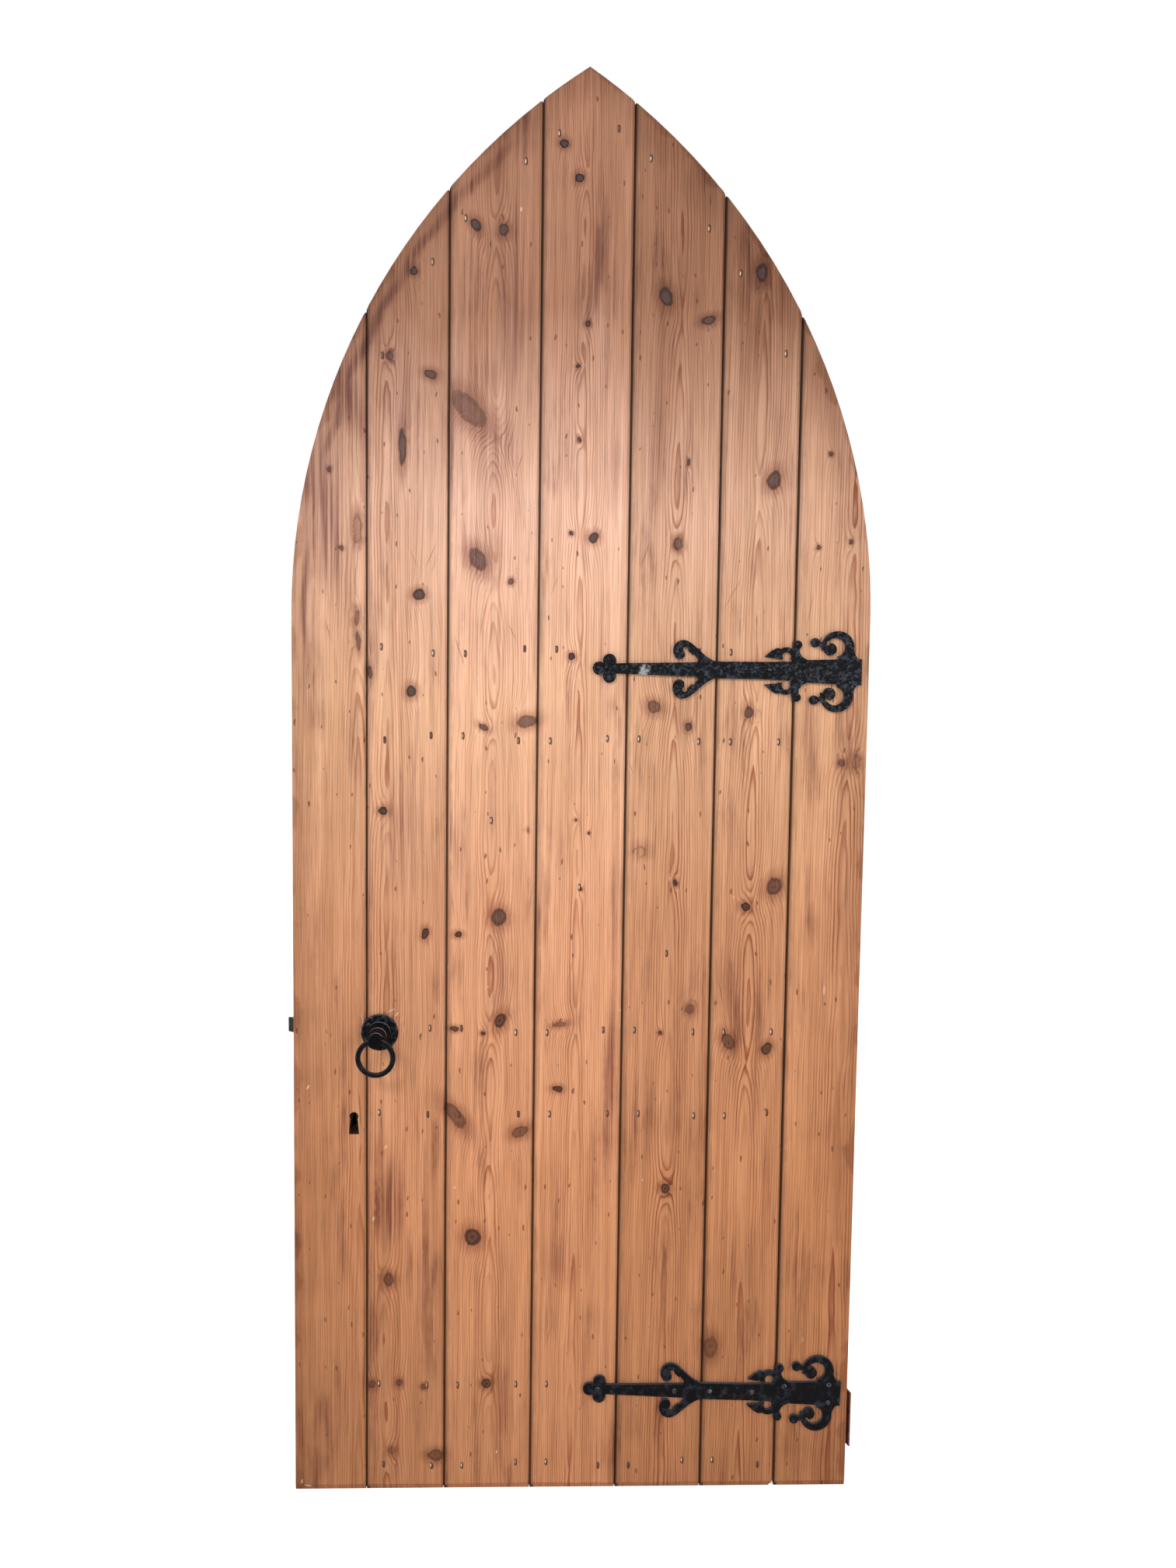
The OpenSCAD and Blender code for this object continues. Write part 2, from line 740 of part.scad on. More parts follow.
module hinge_pin(z) {
  color(rusty_iron) translate([pin_x, pin_y, z - butt_h / 2 - pin_button_h]) {
    cylinder(r = pin_r, h = butt_h + 2 * pin_button_h);
    cylinder(r = knuckle_r, h = pin_button_h - knuckle_gap);
    translate([0, 0, butt_h + pin_button_h + knuckle_gap])
      cylinder(r = knuckle_r, h = pin_button_h - knuckle_gap);
  }
}

module butt_screw_bars(z) {
  for (h = butt_hole_levels(z))
    translate([half_w, butt_hole_y, h]) rotate([0, -90, 0]) cylinder(r = butt_hole_r, h = butt_screw_l);
}

module leaf_screws(z) {
  color(rusty_iron) difference() {
    union() {
      butt_screw_bars(z);
      for (h = butt_hole_levels(z))
        translate([half_w, butt_hole_y, h]) rotate([0, -90, 0])
          cylinder(r1 = butt_sink_r, r2 = butt_hole_r, h = butt_sink_h);
    }
    for (h = butt_hole_levels(z))
      block(
        [half_w - butt_sink_h / 2, butt_hole_y - butt_sink_r - overrun, h - butt_hole_r * slot_w_share / 2],
        [half_w + overrun, butt_hole_y + butt_sink_r + overrun, h + butt_hole_r * slot_w_share / 2]
      );
  }
}

// Ring handle
function rose_screw_places() = [
  for (turn = [rose_screw_turn, rose_screw_turn + 180])
    [spindle_x, spindle_z] + rose_r * rose_screw_ring_share * [cos(turn), sin(turn)]
];

module handle_bores() {
  bar_y(spindle_x, spindle_z, spindle_hole_r, -overrun, leaf_t + overrun);
  for (p = rose_screw_places()) bar_y(p[0], p[1], rose_screw_r, -overrun, rose_screw_l);
}

// A turned piece about the spindle; its outline gives radius and distance in front of the face
module turned_front() {
  translate([spindle_x, 0, spindle_z]) rotate([90, 0, 0]) rotate_extrude() children();
}

module turned_back(y) {
  translate([spindle_x, y, spindle_z]) rotate([-90, 0, 0]) rotate_extrude() children();
}

module handle_rose() {
  color(black_iron) difference() {
    turned_front() polygon([
      [boss_journal_r + running_fit, 0], [rose_r, 0], [rose_r, rose_t / 3],
      [rose_r - rose_t * 2 / 3, rose_t], [boss_journal_r + running_fit, rose_t]
    ]);
    for (p = rose_screw_places()) bar_y(p[0], p[1], rose_screw_r, -rose_t - overrun, overrun);
  }
}

module rose_screws() {
  color(black_iron) for (p = rose_screw_places()) {
    bar_y(p[0], p[1], rose_screw_r, -rose_t, rose_screw_l);
    dome_head(p[0], p[1], -rose_t, rose_screw_r);
  }
}

function boss_r(share) = boss_root_r + (boss_tip_r - boss_root_r) * sin(share * 90);

module handle_boss() {
  root = rose_t + boss_gap;
  step = (boss_l - root) / boss_ridges;
  ridges = [
    for (k = [0 : boss_ridges - 1])
      let (r = boss_r(k / boss_ridges), h = root + k * step)
      each [
        [r, h + step * boss_groove_share],
        [r, h + step * (1 - boss_groove_share)],
        [r - step * boss_groove_share, h + step]
      ]
  ];
  color(black_iron) difference() {
    union() {
      turned_front() polygon(concat([[0, root], [boss_root_r, root]], ridges, [[0, boss_l]]));
      bar_y(spindle_x, spindle_z, boss_journal_r, -root - overrun, -boss_gap);
    }
    spindle_bar(-socket_l, overrun, spindle_w + spindle_fit);
    translate([spindle_x - boss_root_r - overrun, -ring_y, spindle_z]) rotate([0, 90, 0])
      cylinder(r = ring_hole_r, h = 2 * (boss_root_r + overrun));
  }
}

module ring_handle() {
  color(black_iron) translate([spindle_x, -ring_y, spindle_z - ring_r]) rotate([90, 0, 0])
    rotate_extrude() translate([ring_r, 0]) circle(r = ring_bar_r, $fn = 32);
}

module spindle_bar(y0, y1, w) {
  block([spindle_x - w / 2, y0, spindle_z - w / 2], [spindle_x + w / 2, y1, spindle_z + w / 2]);
}

module spindle() {
  color(worn_steel) difference() {
    spindle_bar(-socket_l, latch_back + boss_gap + knob_grip, spindle_w);
    knob_cross(overrun);
  }
}

module knob_cross(past) {
  reach = knob_neck_r + past;
  translate([spindle_x - reach, latch_back + boss_gap + knob_grip / 2, spindle_z]) rotate([0, 90, 0])
    cylinder(r = knob_pin_r, h = 2 * reach);
}

module inner_knob() {
  round_r = knob_d / 2;
  color(black_iron) difference() {
    turned_back(latch_back + boss_gap) {
      square([knob_neck_r, knob_l - round_r]);
      intersection() {
        translate([0, knob_l - round_r * 2 / 3]) circle(r = round_r);
        translate([0, knob_grip]) square([round_r, knob_l - knob_grip]);
      }
    }
    spindle_bar(0, latch_back + boss_gap + knob_grip + spindle_fit, spindle_w + spindle_fit);
    knob_cross(overrun);
  }
}

module knob_pin() {
  color(worn_steel) knob_cross(0);
}

// Rim latch
function case_screw_places(end_x, z, h, drop) = [
  for (x = [-half_w + case_screw_inset, end_x - case_screw_inset], side = [-1, 1])
    [x, z + side * (h / 2 - drop)]
];

module latch_screw_bars(past) {
  for (p = case_screw_places(latch_end_x, spindle_z, latch_h, latch_screw_drop))
    bar_y(p[0], p[1], case_screw_r, latch_back - case_screw_l, latch_back + past);
}

// A case open towards the door, with a window in its edge for the bolt
module rim_case(end_x, z, h, back, bolt_low, bolt_high, bolt_y0, bolt_y1) {
  difference() {
    block([-half_w, leaf_t + plate_t, z - h / 2], [end_x, back, z + h / 2]);
    block(
      [-half_w + case_wall, leaf_t, z - h / 2 + case_wall],
      [end_x - case_wall, back - case_wall, z + h / 2 - case_wall]
    );
    block([-half_w - overrun, bolt_y0, bolt_low], [-half_w + case_wall + overrun, bolt_y1, bolt_high]);
  }
}

module case_screw_heads(places, back) {
  for (p = places) mirror([0, 1, 0]) dome_head(p[0], p[1], -back, case_screw_r);
}

module latch_plate() {
  color(black_iron) difference() {
    block(
      [-half_w, leaf_t, spindle_z - latch_h / 2],
      [latch_end_x, leaf_t + plate_t, spindle_z + latch_h / 2]
    );
    bar_y(spindle_x, spindle_z, follower_journal_r + running_fit, 0, latch_back + overrun);
    latch_screw_bars(0);
  }
}

module latch_case() {
  half_h = latch_bolt_h / 2 + bolt_fit;
  color(black_iron) difference() {
    rim_case(latch_end_x, spindle_z, latch_h, latch_back, latch_bolt_z - half_h, latch_bolt_z + half_h,
      latch_y, latch_bolt_y + latch_bolt_t + bolt_fit);
    bar_y(spindle_x, spindle_z, follower_journal_r + running_fit, 0, latch_back + overrun);
    latch_screw_bars(overrun);
  }
}

// The bolt's nose is sloped on its front side, so that it rides over its keep as the door shuts
module latch_bolt() {
  nose = -half_w - latch_out;
  y0 = latch_bolt_y;
  y1 = latch_bolt_y + latch_bolt_t;
  lug_x = spindle_x + follower_arm_w / 2 + boss_gap;
  color(worn_steel) {
    translate([0, 0, latch_bolt_z - latch_bolt_h / 2]) linear_extrude(latch_bolt_h) polygon([
      [nose, y1], [nose, y1 - latch_bolt_t / 4], [nose + latch_bolt_t, y0], [-half_w + latch_head_l, y0],
      [-half_w + latch_head_l, y1]
    ]);
    difference() {
      block([-half_w + latch_head_l - overrun, tail_y, spindle_z - tail_low],
        [spindle_x + tail_past, tail_y + tail_t, spindle_z + tail_high]);
      block([spindle_x - tail_slot - latch_throw, tail_y - overrun, spindle_z - tail_slot],
        [spindle_x + tail_slot, tail_y + tail_t + overrun, spindle_z + tail_slot]);
    }
    block(
      [lug_x, latch_bolt_y, spindle_z + lug_low],
      [lug_x + lug_w, tail_y + tail_t, spindle_z + tail_high]
    );
  }
}

module latch_follower() {
  y0 = latch_bolt_y;
  y1 = latch_y + follower_t;
  color(worn_steel) difference() {
    union() {
      bar_y(spindle_x, spindle_z, follower_journal_r, leaf_t + bolt_fit, latch_back);
      bar_y(spindle_x, spindle_z, follower_r, y0, y1);
      block(
        [spindle_x - follower_arm_w / 2, y0, spindle_z],
        [spindle_x + follower_arm_w / 2, y1, spindle_z + follower_arm_r]
      );
    }
    spindle_bar(leaf_t, latch_back + overrun, spindle_w + spindle_fit);
  }
}

// A bowed strip between the bolt's tail and the end of the case
module latch_spring() {
  color(worn_steel) slab(tail_y, tail_y + tail_t)
    translate([spindle_x + tail_past + latch_spring_r, spindle_z]) intersection() {
      difference() {
        circle(r = latch_spring_r);
        circle(r = latch_spring_r - spring_t);
      }
      translate([-2 * latch_spring_r, 0]) square(4 * latch_spring_r);
    }
}

module latch_screws() {
  color(black_iron) {
    latch_screw_bars(0);
    case_screw_heads(case_screw_places(latch_end_x, spindle_z, latch_h, latch_screw_drop), latch_back);
  }
}

// Rim lock
module keyhole(y0, y1) {
  slab(y0, y1) translate([key_x, key_z]) {
    circle(r = key_r);
    polygon([
      [-key_r * key_neck_share, 0], [key_r * key_neck_share, 0],
      [key_slot_w / 2, -key_slot_h], [-key_slot_w / 2, -key_slot_h]
    ]);
  }
}

// Keyhole of the lock itself, closer to the key than the one in the wood
module key_slit(y0, y1) {
  slab(y0, y1) translate([key_x, key_z]) {
    circle(r = key_slit_r);
    translate([-key_slit_w / 2, -key_slot_h]) square([key_slit_w, key_slot_h]);
  }
}

module lock_screw_bars(past) {
  for (p = case_screw_places(lock_end_x, lock_z, lock_h, lock_screw_drop))
    bar_y(p[0], p[1], case_screw_r, lock_back - case_screw_l, lock_back + past);
}

module lock_plate() {
  color(black_iron) difference() {
    block([-half_w, leaf_t, lock_z - lock_h / 2], [lock_end_x, leaf_t + plate_t, lock_z + lock_h / 2]);
    key_slit(0, lock_back);
    lock_screw_bars(0);
  }
}

module lock_case() {
  color(black_iron) difference() {
    rim_case(lock_end_x, lock_z, lock_h, lock_back,
      dead_bolt_top - dead_bolt_h - bolt_fit, dead_bolt_top + bolt_fit,
      lock_y, dead_bolt_y + dead_bolt_t + bolt_fit);
    key_slit(0, lock_back + overrun);
    lock_screw_bars(overrun);
  }
}

// The bolt lies drawn back; a notch in its lower edge takes the key
module dead_bolt() {
  color(worn_steel) difference() {
    block([-half_w + dead_bolt_set, dead_bolt_y, dead_bolt_top - dead_bolt_h],
      [-half_w + dead_bolt_set + dead_bolt_l, dead_bolt_y + dead_bolt_t, dead_bolt_top]);
    block([key_x - talon_w / 2, dead_bolt_y - overrun, dead_bolt_top - dead_bolt_h - overrun],
      [key_x + talon_w / 2, dead_bolt_y + dead_bolt_t + overrun, dead_bolt_top - dead_bolt_h + talon_h]);
  }
}

// A bowed strip on the bolt's back holds it in or out
module bolt_spring() {
  rise_z = lock_spring_rise - bolt_fit;
  color(worn_steel) slab(dead_bolt_y, dead_bolt_y + dead_bolt_t)
    translate([-half_w + lock_len / 2, dead_bolt_top + rise_z - lock_spring_r]) intersection() {
      difference() {
        circle(r = lock_spring_r);
        circle(r = lock_spring_r - spring_t);
      }
      translate([-2 * lock_spring_half, lock_spring_r - rise_z]) square(4 * lock_spring_half);
    }
}

module lock_screws() {
  color(black_iron) {
    lock_screw_bars(0);
    case_screw_heads(case_screw_places(lock_end_x, lock_z, lock_h, lock_screw_drop), lock_back);
  }
}

placed() lock_stile();
placed() hinge_stile();
placed() board(0);  // board_1
placed() board(1);  // board_2
placed() board(2);  // board_3
placed() board(3);  // board_4
placed() board(4);  // board_5
placed() head_rail(inner_left, 0);  // head_rail_left
placed() head_rail(0, inner_right);  // head_rail_right
placed() ledge(upper_ledge_z);  // upper_ledge
placed() ledge(lock_ledge_z);  // lock_ledge
placed() ledge(bottom_ledge_z);  // bottom_ledge
placed() brace(upper_brace_z);  // upper_brace
placed() brace(lower_brace_z);  // lower_brace
placed() nails(ledge_nail_places);  // ledge_nails
placed() nails(head_nail_places);  // head_nails
placed() nails(brace_nail_places);  // brace_nails
placed() hinge_front(upper_front_z, upper_front_droop);  // upper_hinge_front
placed() hinge_front(lower_front_z, lower_front_droop);  // lower_hinge_front
placed() front_screws(upper_front_z, upper_front_droop);  // upper_front_screws
placed() front_screws(lower_front_z, lower_front_droop);  // lower_front_screws
placed() color(rusty_iron) butt_leaf(upper_butt_z, -1);  // upper_door_leaf
placed() jamb_leaf(upper_butt_z, 0);  // upper_jamb_leaf
placed() hinge_pin(upper_butt_z);  // upper_hinge_pin
placed() leaf_screws(upper_butt_z);  // upper_leaf_screws
placed() color(rusty_iron) butt_leaf(lower_butt_z, -1);  // lower_door_leaf
placed() jamb_leaf(lower_butt_z, lower_leaf_ajar);  // lower_jamb_leaf
placed() hinge_pin(lower_butt_z);  // lower_hinge_pin
placed() leaf_screws(lower_butt_z);  // lower_leaf_screws
placed() handle_rose();
placed() rose_screws();
placed() handle_boss();
placed() ring_handle();
placed() spindle();
placed() inner_knob();
placed() knob_pin();
placed() latch_plate();
placed() latch_case();
placed() latch_bolt();
placed() latch_follower();
placed() latch_spring();
placed() latch_screws();
placed() lock_plate();
placed() lock_case();
placed() dead_bolt();
placed() bolt_spring();
placed() lock_screws();
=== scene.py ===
import json
import math

import bmesh
import bpy
from mathutils import Matrix, Vector

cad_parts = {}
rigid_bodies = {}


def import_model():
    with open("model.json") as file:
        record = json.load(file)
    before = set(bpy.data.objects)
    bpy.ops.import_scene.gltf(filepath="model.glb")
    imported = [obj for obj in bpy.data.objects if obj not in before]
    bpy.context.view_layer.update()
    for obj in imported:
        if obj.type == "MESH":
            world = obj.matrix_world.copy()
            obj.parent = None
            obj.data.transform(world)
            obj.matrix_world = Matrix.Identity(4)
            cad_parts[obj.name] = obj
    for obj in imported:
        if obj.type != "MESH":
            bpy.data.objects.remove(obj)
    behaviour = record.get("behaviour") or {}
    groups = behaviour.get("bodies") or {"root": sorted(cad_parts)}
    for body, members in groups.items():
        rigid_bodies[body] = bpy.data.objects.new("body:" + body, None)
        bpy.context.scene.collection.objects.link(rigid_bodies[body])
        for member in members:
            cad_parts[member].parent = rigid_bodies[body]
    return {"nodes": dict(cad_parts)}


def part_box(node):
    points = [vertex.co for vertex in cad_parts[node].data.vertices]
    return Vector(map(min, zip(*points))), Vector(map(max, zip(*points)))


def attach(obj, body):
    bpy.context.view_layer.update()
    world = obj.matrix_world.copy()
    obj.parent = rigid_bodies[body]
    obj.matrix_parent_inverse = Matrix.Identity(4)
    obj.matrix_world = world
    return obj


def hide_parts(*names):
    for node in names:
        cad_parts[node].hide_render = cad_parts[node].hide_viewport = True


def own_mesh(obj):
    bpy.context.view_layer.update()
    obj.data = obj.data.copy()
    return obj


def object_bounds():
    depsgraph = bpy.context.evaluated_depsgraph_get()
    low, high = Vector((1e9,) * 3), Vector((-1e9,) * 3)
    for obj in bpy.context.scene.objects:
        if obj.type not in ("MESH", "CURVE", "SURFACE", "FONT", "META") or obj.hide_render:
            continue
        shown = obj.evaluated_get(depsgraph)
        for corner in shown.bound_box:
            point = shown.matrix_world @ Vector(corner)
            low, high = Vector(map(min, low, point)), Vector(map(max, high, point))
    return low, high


bl_info = {
    "name": "Arched Wooden Door",
    "version": (1, 0, 0),
    "blender": (4, 5, 0),
    "location": "3D View > Sidebar > Door",
    "description": "Dresses a pointed plank door with old pine, nails and black iron",
    "category": "Object",
}

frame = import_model()
CAD_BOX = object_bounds()

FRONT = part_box("board_3")[0].y
HALF_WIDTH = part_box("hinge_stile")[1].x
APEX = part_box("board_3")[1].z

# Height at which the arch leaves the straight sides.
ARCH_FOOT = 1.252

# Root of the boss behind its first ridge, and the width of a ridge.
RIDGE_ROOT = FRONT - 0.0033
RIDGE_PITCH = 0.008117

# How much the latch spring is shortened, to leave air between it and the latch bolt at rest.
SPRING_GAP = 0.0002

# Distance within which corners are welded, angle below which faces count as one, angle of a sharp edge.
WELD = 1e-6
FLAT = math.radians(0.4)
CREASE = math.radians(32.0)

# Millimetres in a metre; the marks below are in millimetres.
MM = 1000

# How far past its own sides a board looks for marks, in millimetres.
BOARD_SPARE = 4

# Depth, in metres, that carries a mark right through a board, and a joint too far off to gather dirt.
ANY_DEPTH = 1000.0
NO_JOINT = 9.0

# Specular level and depth of the grain of all the pine.
PINE_SHINE = 0.15
PINE_RELIEF = 0.0006

# The studio: floor, glow of the floor where it is seen, and the point that the lamps look at.
FLOOR_REACH = 14.0
FLOOR_GLOW = 0.62
LAMP_TARGET = Vector((0, 0, 1.1))

# The camera: sensor in millimetres, focal length and height of the picture in pixels, place and axes.
SENSOR = 36.0
FOCAL_PIXELS = 1600
PICTURE_PIXELS = 2017
CAMERA_PLACE = (-0.0487, -1.7311, 1.1561)
CAMERA_RIGHT = (0.9993699, -0.03290891, 0.01329659)
CAMERA_UP = (-0.01073706, 0.07676608, 0.99699132)
CAMERA_BACK = (-0.03383062, -0.99650588, 0.07636437)

NAILS = ("ledge_nails", "head_nails", "brace_nails")

BOARDS = ("lock_stile", "board_1", "board_2", "board_3", "board_4", "board_5", "hinge_stile")

# Growth of each front board: heart line, heart depth, ring width, taper, waver, sway and seed, of which all
# but taper and seed are in metres, then a lightness, a warmth and the boldness of its lines.
GROWTH_SOCKETS = ("Heart", "Depth", "Ring", "Taper", "Waver", "Sway", "Seed")
GROWTH = {
    "lock_stile": (-0.306, 0.008, 0.0034, 0.010, 0.008, 0.016, 3.1, 0.91, 0.6, 0.75),
    "board_1": (-0.268, 0.009, 0.0034, 0.012, 0.009, 0.014, 11.7, 0.96, 0.2, 0.9),
    "board_2": (-0.122, 0.010, 0.0032, 0.011, 0.009, 0.014, 23.9, 1.06, 0.0, 0.8),
    "board_3": (-0.004, 0.008, 0.0030, 0.010, 0.007, 0.008, 37.3, 1.09, 0.0, 0.85),
    "board_4": (0.128, 0.008, 0.0034, 0.012, 0.008, 0.010, 41.9, 0.89, 0.6, 1.0),
    "board_5": (0.240, 0.008, 0.0034, 0.012, 0.008, 0.010, 59.3, 0.87, 0.8, 1.0),
    "hinge_stile": (0.372, 0.010, 0.0036, 0.010, 0.010, 0.024, 67.1, 0.89, 1.0, 1.0),
}

# Knots on the front, in millimetres: across, up, half width, half height, then a lean in degrees and a
# paleness, from 0 for a dark heart to 1 for a mere swirl in the grain.
KNOTS = (
    (-33, 1882, 6, 6, 0, 0.0),
    (-12, 1837, 6, 6, 0, 0.0),
    (-151, 1773, 6, 10, -26, 0.1),
    (-113, 1768, 7, 8, 0, 0.25),
    (236, 1720, 8, 13, 8, 0.25),
    (-233, 1712, 5, 6, 0, 0.1),
    (107, 1685, 9, 13, -15, 0.25),
    (165, 1656, 10, 6, -20, 0.25),
    (2, 1647, 4, 4, 0, 0.1),
    (-265, 1599, 5, 6, 0, 0.4),
    (-11, 1591, 3, 3, 0, 0.0),
    (-210, 1576, 9, 6, 20, 0.25),
    (-158, 1531, 14, 29, -42, 0.62),
    (-153, 1523, 8, 15, -42, 0.15),
    (-8, 1494, 3, 3, 0, 0.1),
    (336, 1480, 3, 3, 0, 0.2),
    (-248, 1479, 5, 26, 0, 0.25),
    (141, 1466, 2, 4, 0, 0.2),
    (-346, 1447, 3, 4, 0, 0.3),
    (260, 1445, 9, 13, 18, 0.25),
    (-309, 1370, 5, 18, 0, 1.0),
    (-18, 1367, 3, 3, 0, 0.1),
    (13, 1362, 7, 7, 0, 0.1),
    (368, 1361, 3, 4, 0, 0.2),
    (129, 1356, 6, 8, 0, 0.4),
    (323, 1354, 3, 3, 0, 0.2),
    (-330, 1342, 3, 3, 0, 0.3),
    (-145, 1330, 10, 16, -28, 0.4),
    (-99, 1301, 4, 4, 0, 0.25),
    (-225, 1281, 8, 7, 0, 0.1),
    (-309, 1249, 3, 10, 6, 0.55),
    (-308, 1217, 3, 14, -4, 0.4),
    (-15, 1200, 5, 5, 0, 0.0),
    (-292, 1175, 4, 9, 0, 0.25),
    (-235, 1149, 7, 8, 0, 0.1),
    (100, 1132, 10, 8, 30, 0.4),
    (232, 1126, 6, 9, 0, 0.25),
    (-76, 1110, 14, 8, -15, 0.4),
    (148, 1105, 5, 6, 0, 0.25),
    (-136, 1101, 8, 4, 30, 0.25),
    (384, 1059, 5, 10, 0, 1.0),
    (363, 1057, 5, 6, 0, 0.45),
    (-273, 984, 6, 6, 0, 0.0),
    (-7, 975, 2, 2, 0, 0.0),
    (12, 956, 2, 2, 0, 0.0),
    (134, 887, 3, 5, 0, 0.0),
    (273, 883, 10, 13, 28, 0.25),
    (2, 876, 2, 2, 0, 0.0),
    (234, 854, 7, 6, 0, 0.0),
    (-112, 836, 10, 12, 0, 0.25),
    (-215, 813, 5, 8, 0, 0.0),
    (-169, 811, 6, 4, 0, 0.0),
    (158, 707, 6, 7, 0, 0.55),
    (-109, 689, 8, 12, 24, 0.1),
    (-26, 684, 10, 4, -10, 0.55),
    (-174, 677, 6, 4, 0, 0.1),
    (116, 673, 3, 3, 0, 0.1),
    (-133, 670, 3, 3, 0, 0.0),
    (213, 661, 8, 12, -28, 0.4),
    (268, 650, 7, 9, 24, 0.1),
    (-28, 592, 7, 5, 0, 0.0),
    (-172, 553, 9, 22, -38, 0.4),
    (-80, 530, 12, 8, -25, 0.4),
    (128, 447, 7, 7, 0, 0.1),
    (-146, 376, 12, 13, 0, 0.1),
    (-265, 313, 8, 9, 0, 0.4),
    (198, 211, 10, 16, 0, 0.55),
    (-250, 160, 5, 6, 0, 0.4),
    (-125, 158, 7, 7, 0, 0.1),
    (-288, 157, 5, 6, 0, 0.4),
    (-215, 154, 4, 5, 0, 0.4),
    (-260, 58, 6, 6, 0, 0.8),
    (-198, 51, 11, 8, 0, 0.4),
)

# Old stains on the front, in millimetres: across, up, half width, half height, lean in degrees, strength.
STAINS = (
    (-352, 1400, 44, 230, -10, 0.75),
    (-330, 1560, 30, 120, -24, 0.8),
    (-250, 1560, 34, 90, 0, 0.5),
    (-140, 1575, 44, 44, 0, 0.3),
    (-120, 1470, 44, 90, 8, 0.5),
    (-96, 1660, 34, 150, 0, 0.5),
    (-140, 1340, 44, 70, 0, 0.45),
    (-118, 1225, 40, 60, 0, 0.25),
    (-250, 950, 44, 120, 0, 0.5),
    (-262, 430, 24, 100, 0, 0.95),
    (-112, 740, 26, 110, 0, 0.4),
    (46, 610, 14, 170, 0, 0.75),
    (52, 850, 12, 130, 0, 0.55),
    (30, 1180, 14, 110, 0, 0.35),
    (40, 1450, 12, 90, 0, 0.4),
    (-20, 340, 40, 60, 0, 0.4),
    (96, 1500, 30, 160, 0, 0.3),
    (150, 1120, 60, 60, 0, 0.3),
    (230, 1640, 40, 110, 0, 0.35),
    (240, 330, 40, 90, 0, 0.3),
    (352, 1180, 30, 60, 0, 0.25),
    (-280, 690, 34, 16, 0, 1.0),
    (330, 60, 60, 40, 0, 0.4),
    (-281, 420, 7, 74, 0, 1.0),
    (-262, 404, 9, 60, 2, 1.0),
    (-74, 959, 8, 8, 0, 0.8),
    (86, 932, 26, 24, 0, 0.6),
)

# Scratches on the front, in millimetres: across, up, half width, half length, lean in degrees, strength.
SCRATCHES = (
    (-209, 1334, 0.9, 24, 23, 0.8),
    (-205, 1322, 0.7, 16, 14, 0.6),
    (-136, 1254, 0.9, 40, 11, 0.8),
    (-88, 1463, 0.8, 16, 21, 0.8),
    (-97, 1458, 0.7, 12, -6, 0.7),
    (-169, 1205, 0.9, 29, -19, 0.9),
    (-97, 1232, 0.8, 18, -27, 0.8),
    (-40, 1296, 0.8, 20, 20, 0.7),
    (84, 1340, 0.9, 26, 19, 0.9),
    (69, 1048, 0.8, 13, -20, 0.8),
    (-177, 854, 0.8, 22, -7, 0.8),
    (-68, 863, 0.8, 29, 8, 0.8),
    (202, 728, 0.9, 33, -14, 0.8),
    (-326, 555, 1.0, 13, 0, 1.0),
    (-336, 566, 0.9, 5, 0, 1.0),
    (-352, 672, 1.1, 5, -8, 1.0),
    (-346, 667, 1.1, 4, 20, 1.0),
    (-348, 1230, 0.9, 22, -16, 0.7),
    (314, 1270, 0.9, 30, 10, 0.7),
    (346, 730, 1.0, 42, -3, 0.8),
    (-12, 760, 0.8, 24, 12, 0.7),
    (206, 1290, 0.8, 34, 28, 0.7),
    (-232, 1330, 0.8, 20, -24, 0.6),
    (120, 560, 0.9, 26, 4, 0.8),
    (258, 232, 0.9, 22, -6, 0.8),
    (-36, 232, 0.8, 18, 16, 0.7),
    (358, 1069, 1.3, 4, 40, 1.0),
)

# Pale knots that show only as a dark ring, in millimetres: across, up, half width, half height, then a lean
# in degrees and a strength.
RINGS = (
    (82, 929, 10, 9, 0, 0.85),
    (160, 712, 9, 10, 20, 0.6),
    (240, 1120, 11, 13, 0, 0.35),
    (384, 1059, 7, 11, 0, 0.6),
    (-309, 1368, 7, 20, 0, 0.5),
)

# Painted shade inside the keyhole and the bright rub on the upper hinge front, in the same way.
KEYHOLE = ((-314, 541, 11, 22, 0, 1.0),)
RUBBED = ((84, 1178, 9, 14, 0, 0.75),)

# Dirt and painted shade round each nail head, set right and down, in millimetres: shift across and up, half
# width, half height, then a strength.
NAIL_DIRT_AND_SHADE = (0.7, -0.3, 2.5, 6.6, 0.9)

# Knots on each piece of the back: place along its reach, then half width and half height in millimetres.
BACK_KNOTS = ((-0.66, 8, 10), (0.1, 6, 7), (0.6, 10, 9))

# Pale scrapes on the front, in millimetres: across, up, half width, half length, lean in degrees, strength.
SCRAPES = (
    (-262, 703, 1.6, 8, 62, 0.7),
    (-254, 698, 1.4, 6, 40, 0.9),
    (-247, 690, 1.1, 8, 20, 0.5),
    (-244, 676, 1.0, 8, -6, 0.45),
    (-303, 694, 1.1, 8, -14, 0.5),
    (-305, 674, 1.0, 7, 6, 0.4),
    (-389, 13, 1.6, 4, 12, 0.9),
    (-380, 6, 7, 2.2, 10, 0.8),
    (-378, 593, 2.0, 5, 34, 0.9),
    (-269, 507, 1.8, 5, 24, 0.9),
    (-287, 402, 1.8, 5, 6, 1.0),
    (60, 705, 4, 1.6, 0, 0.9),
    (348, 735, 1.8, 9, 4, 0.9),
    (-172, 448, 2.0, 3, 0, 0.8),
    (29, 1084, 2.2, 2.6, 0, 0.9),
    (-51, 1081, 2.2, 2.6, 0, 0.9),
)


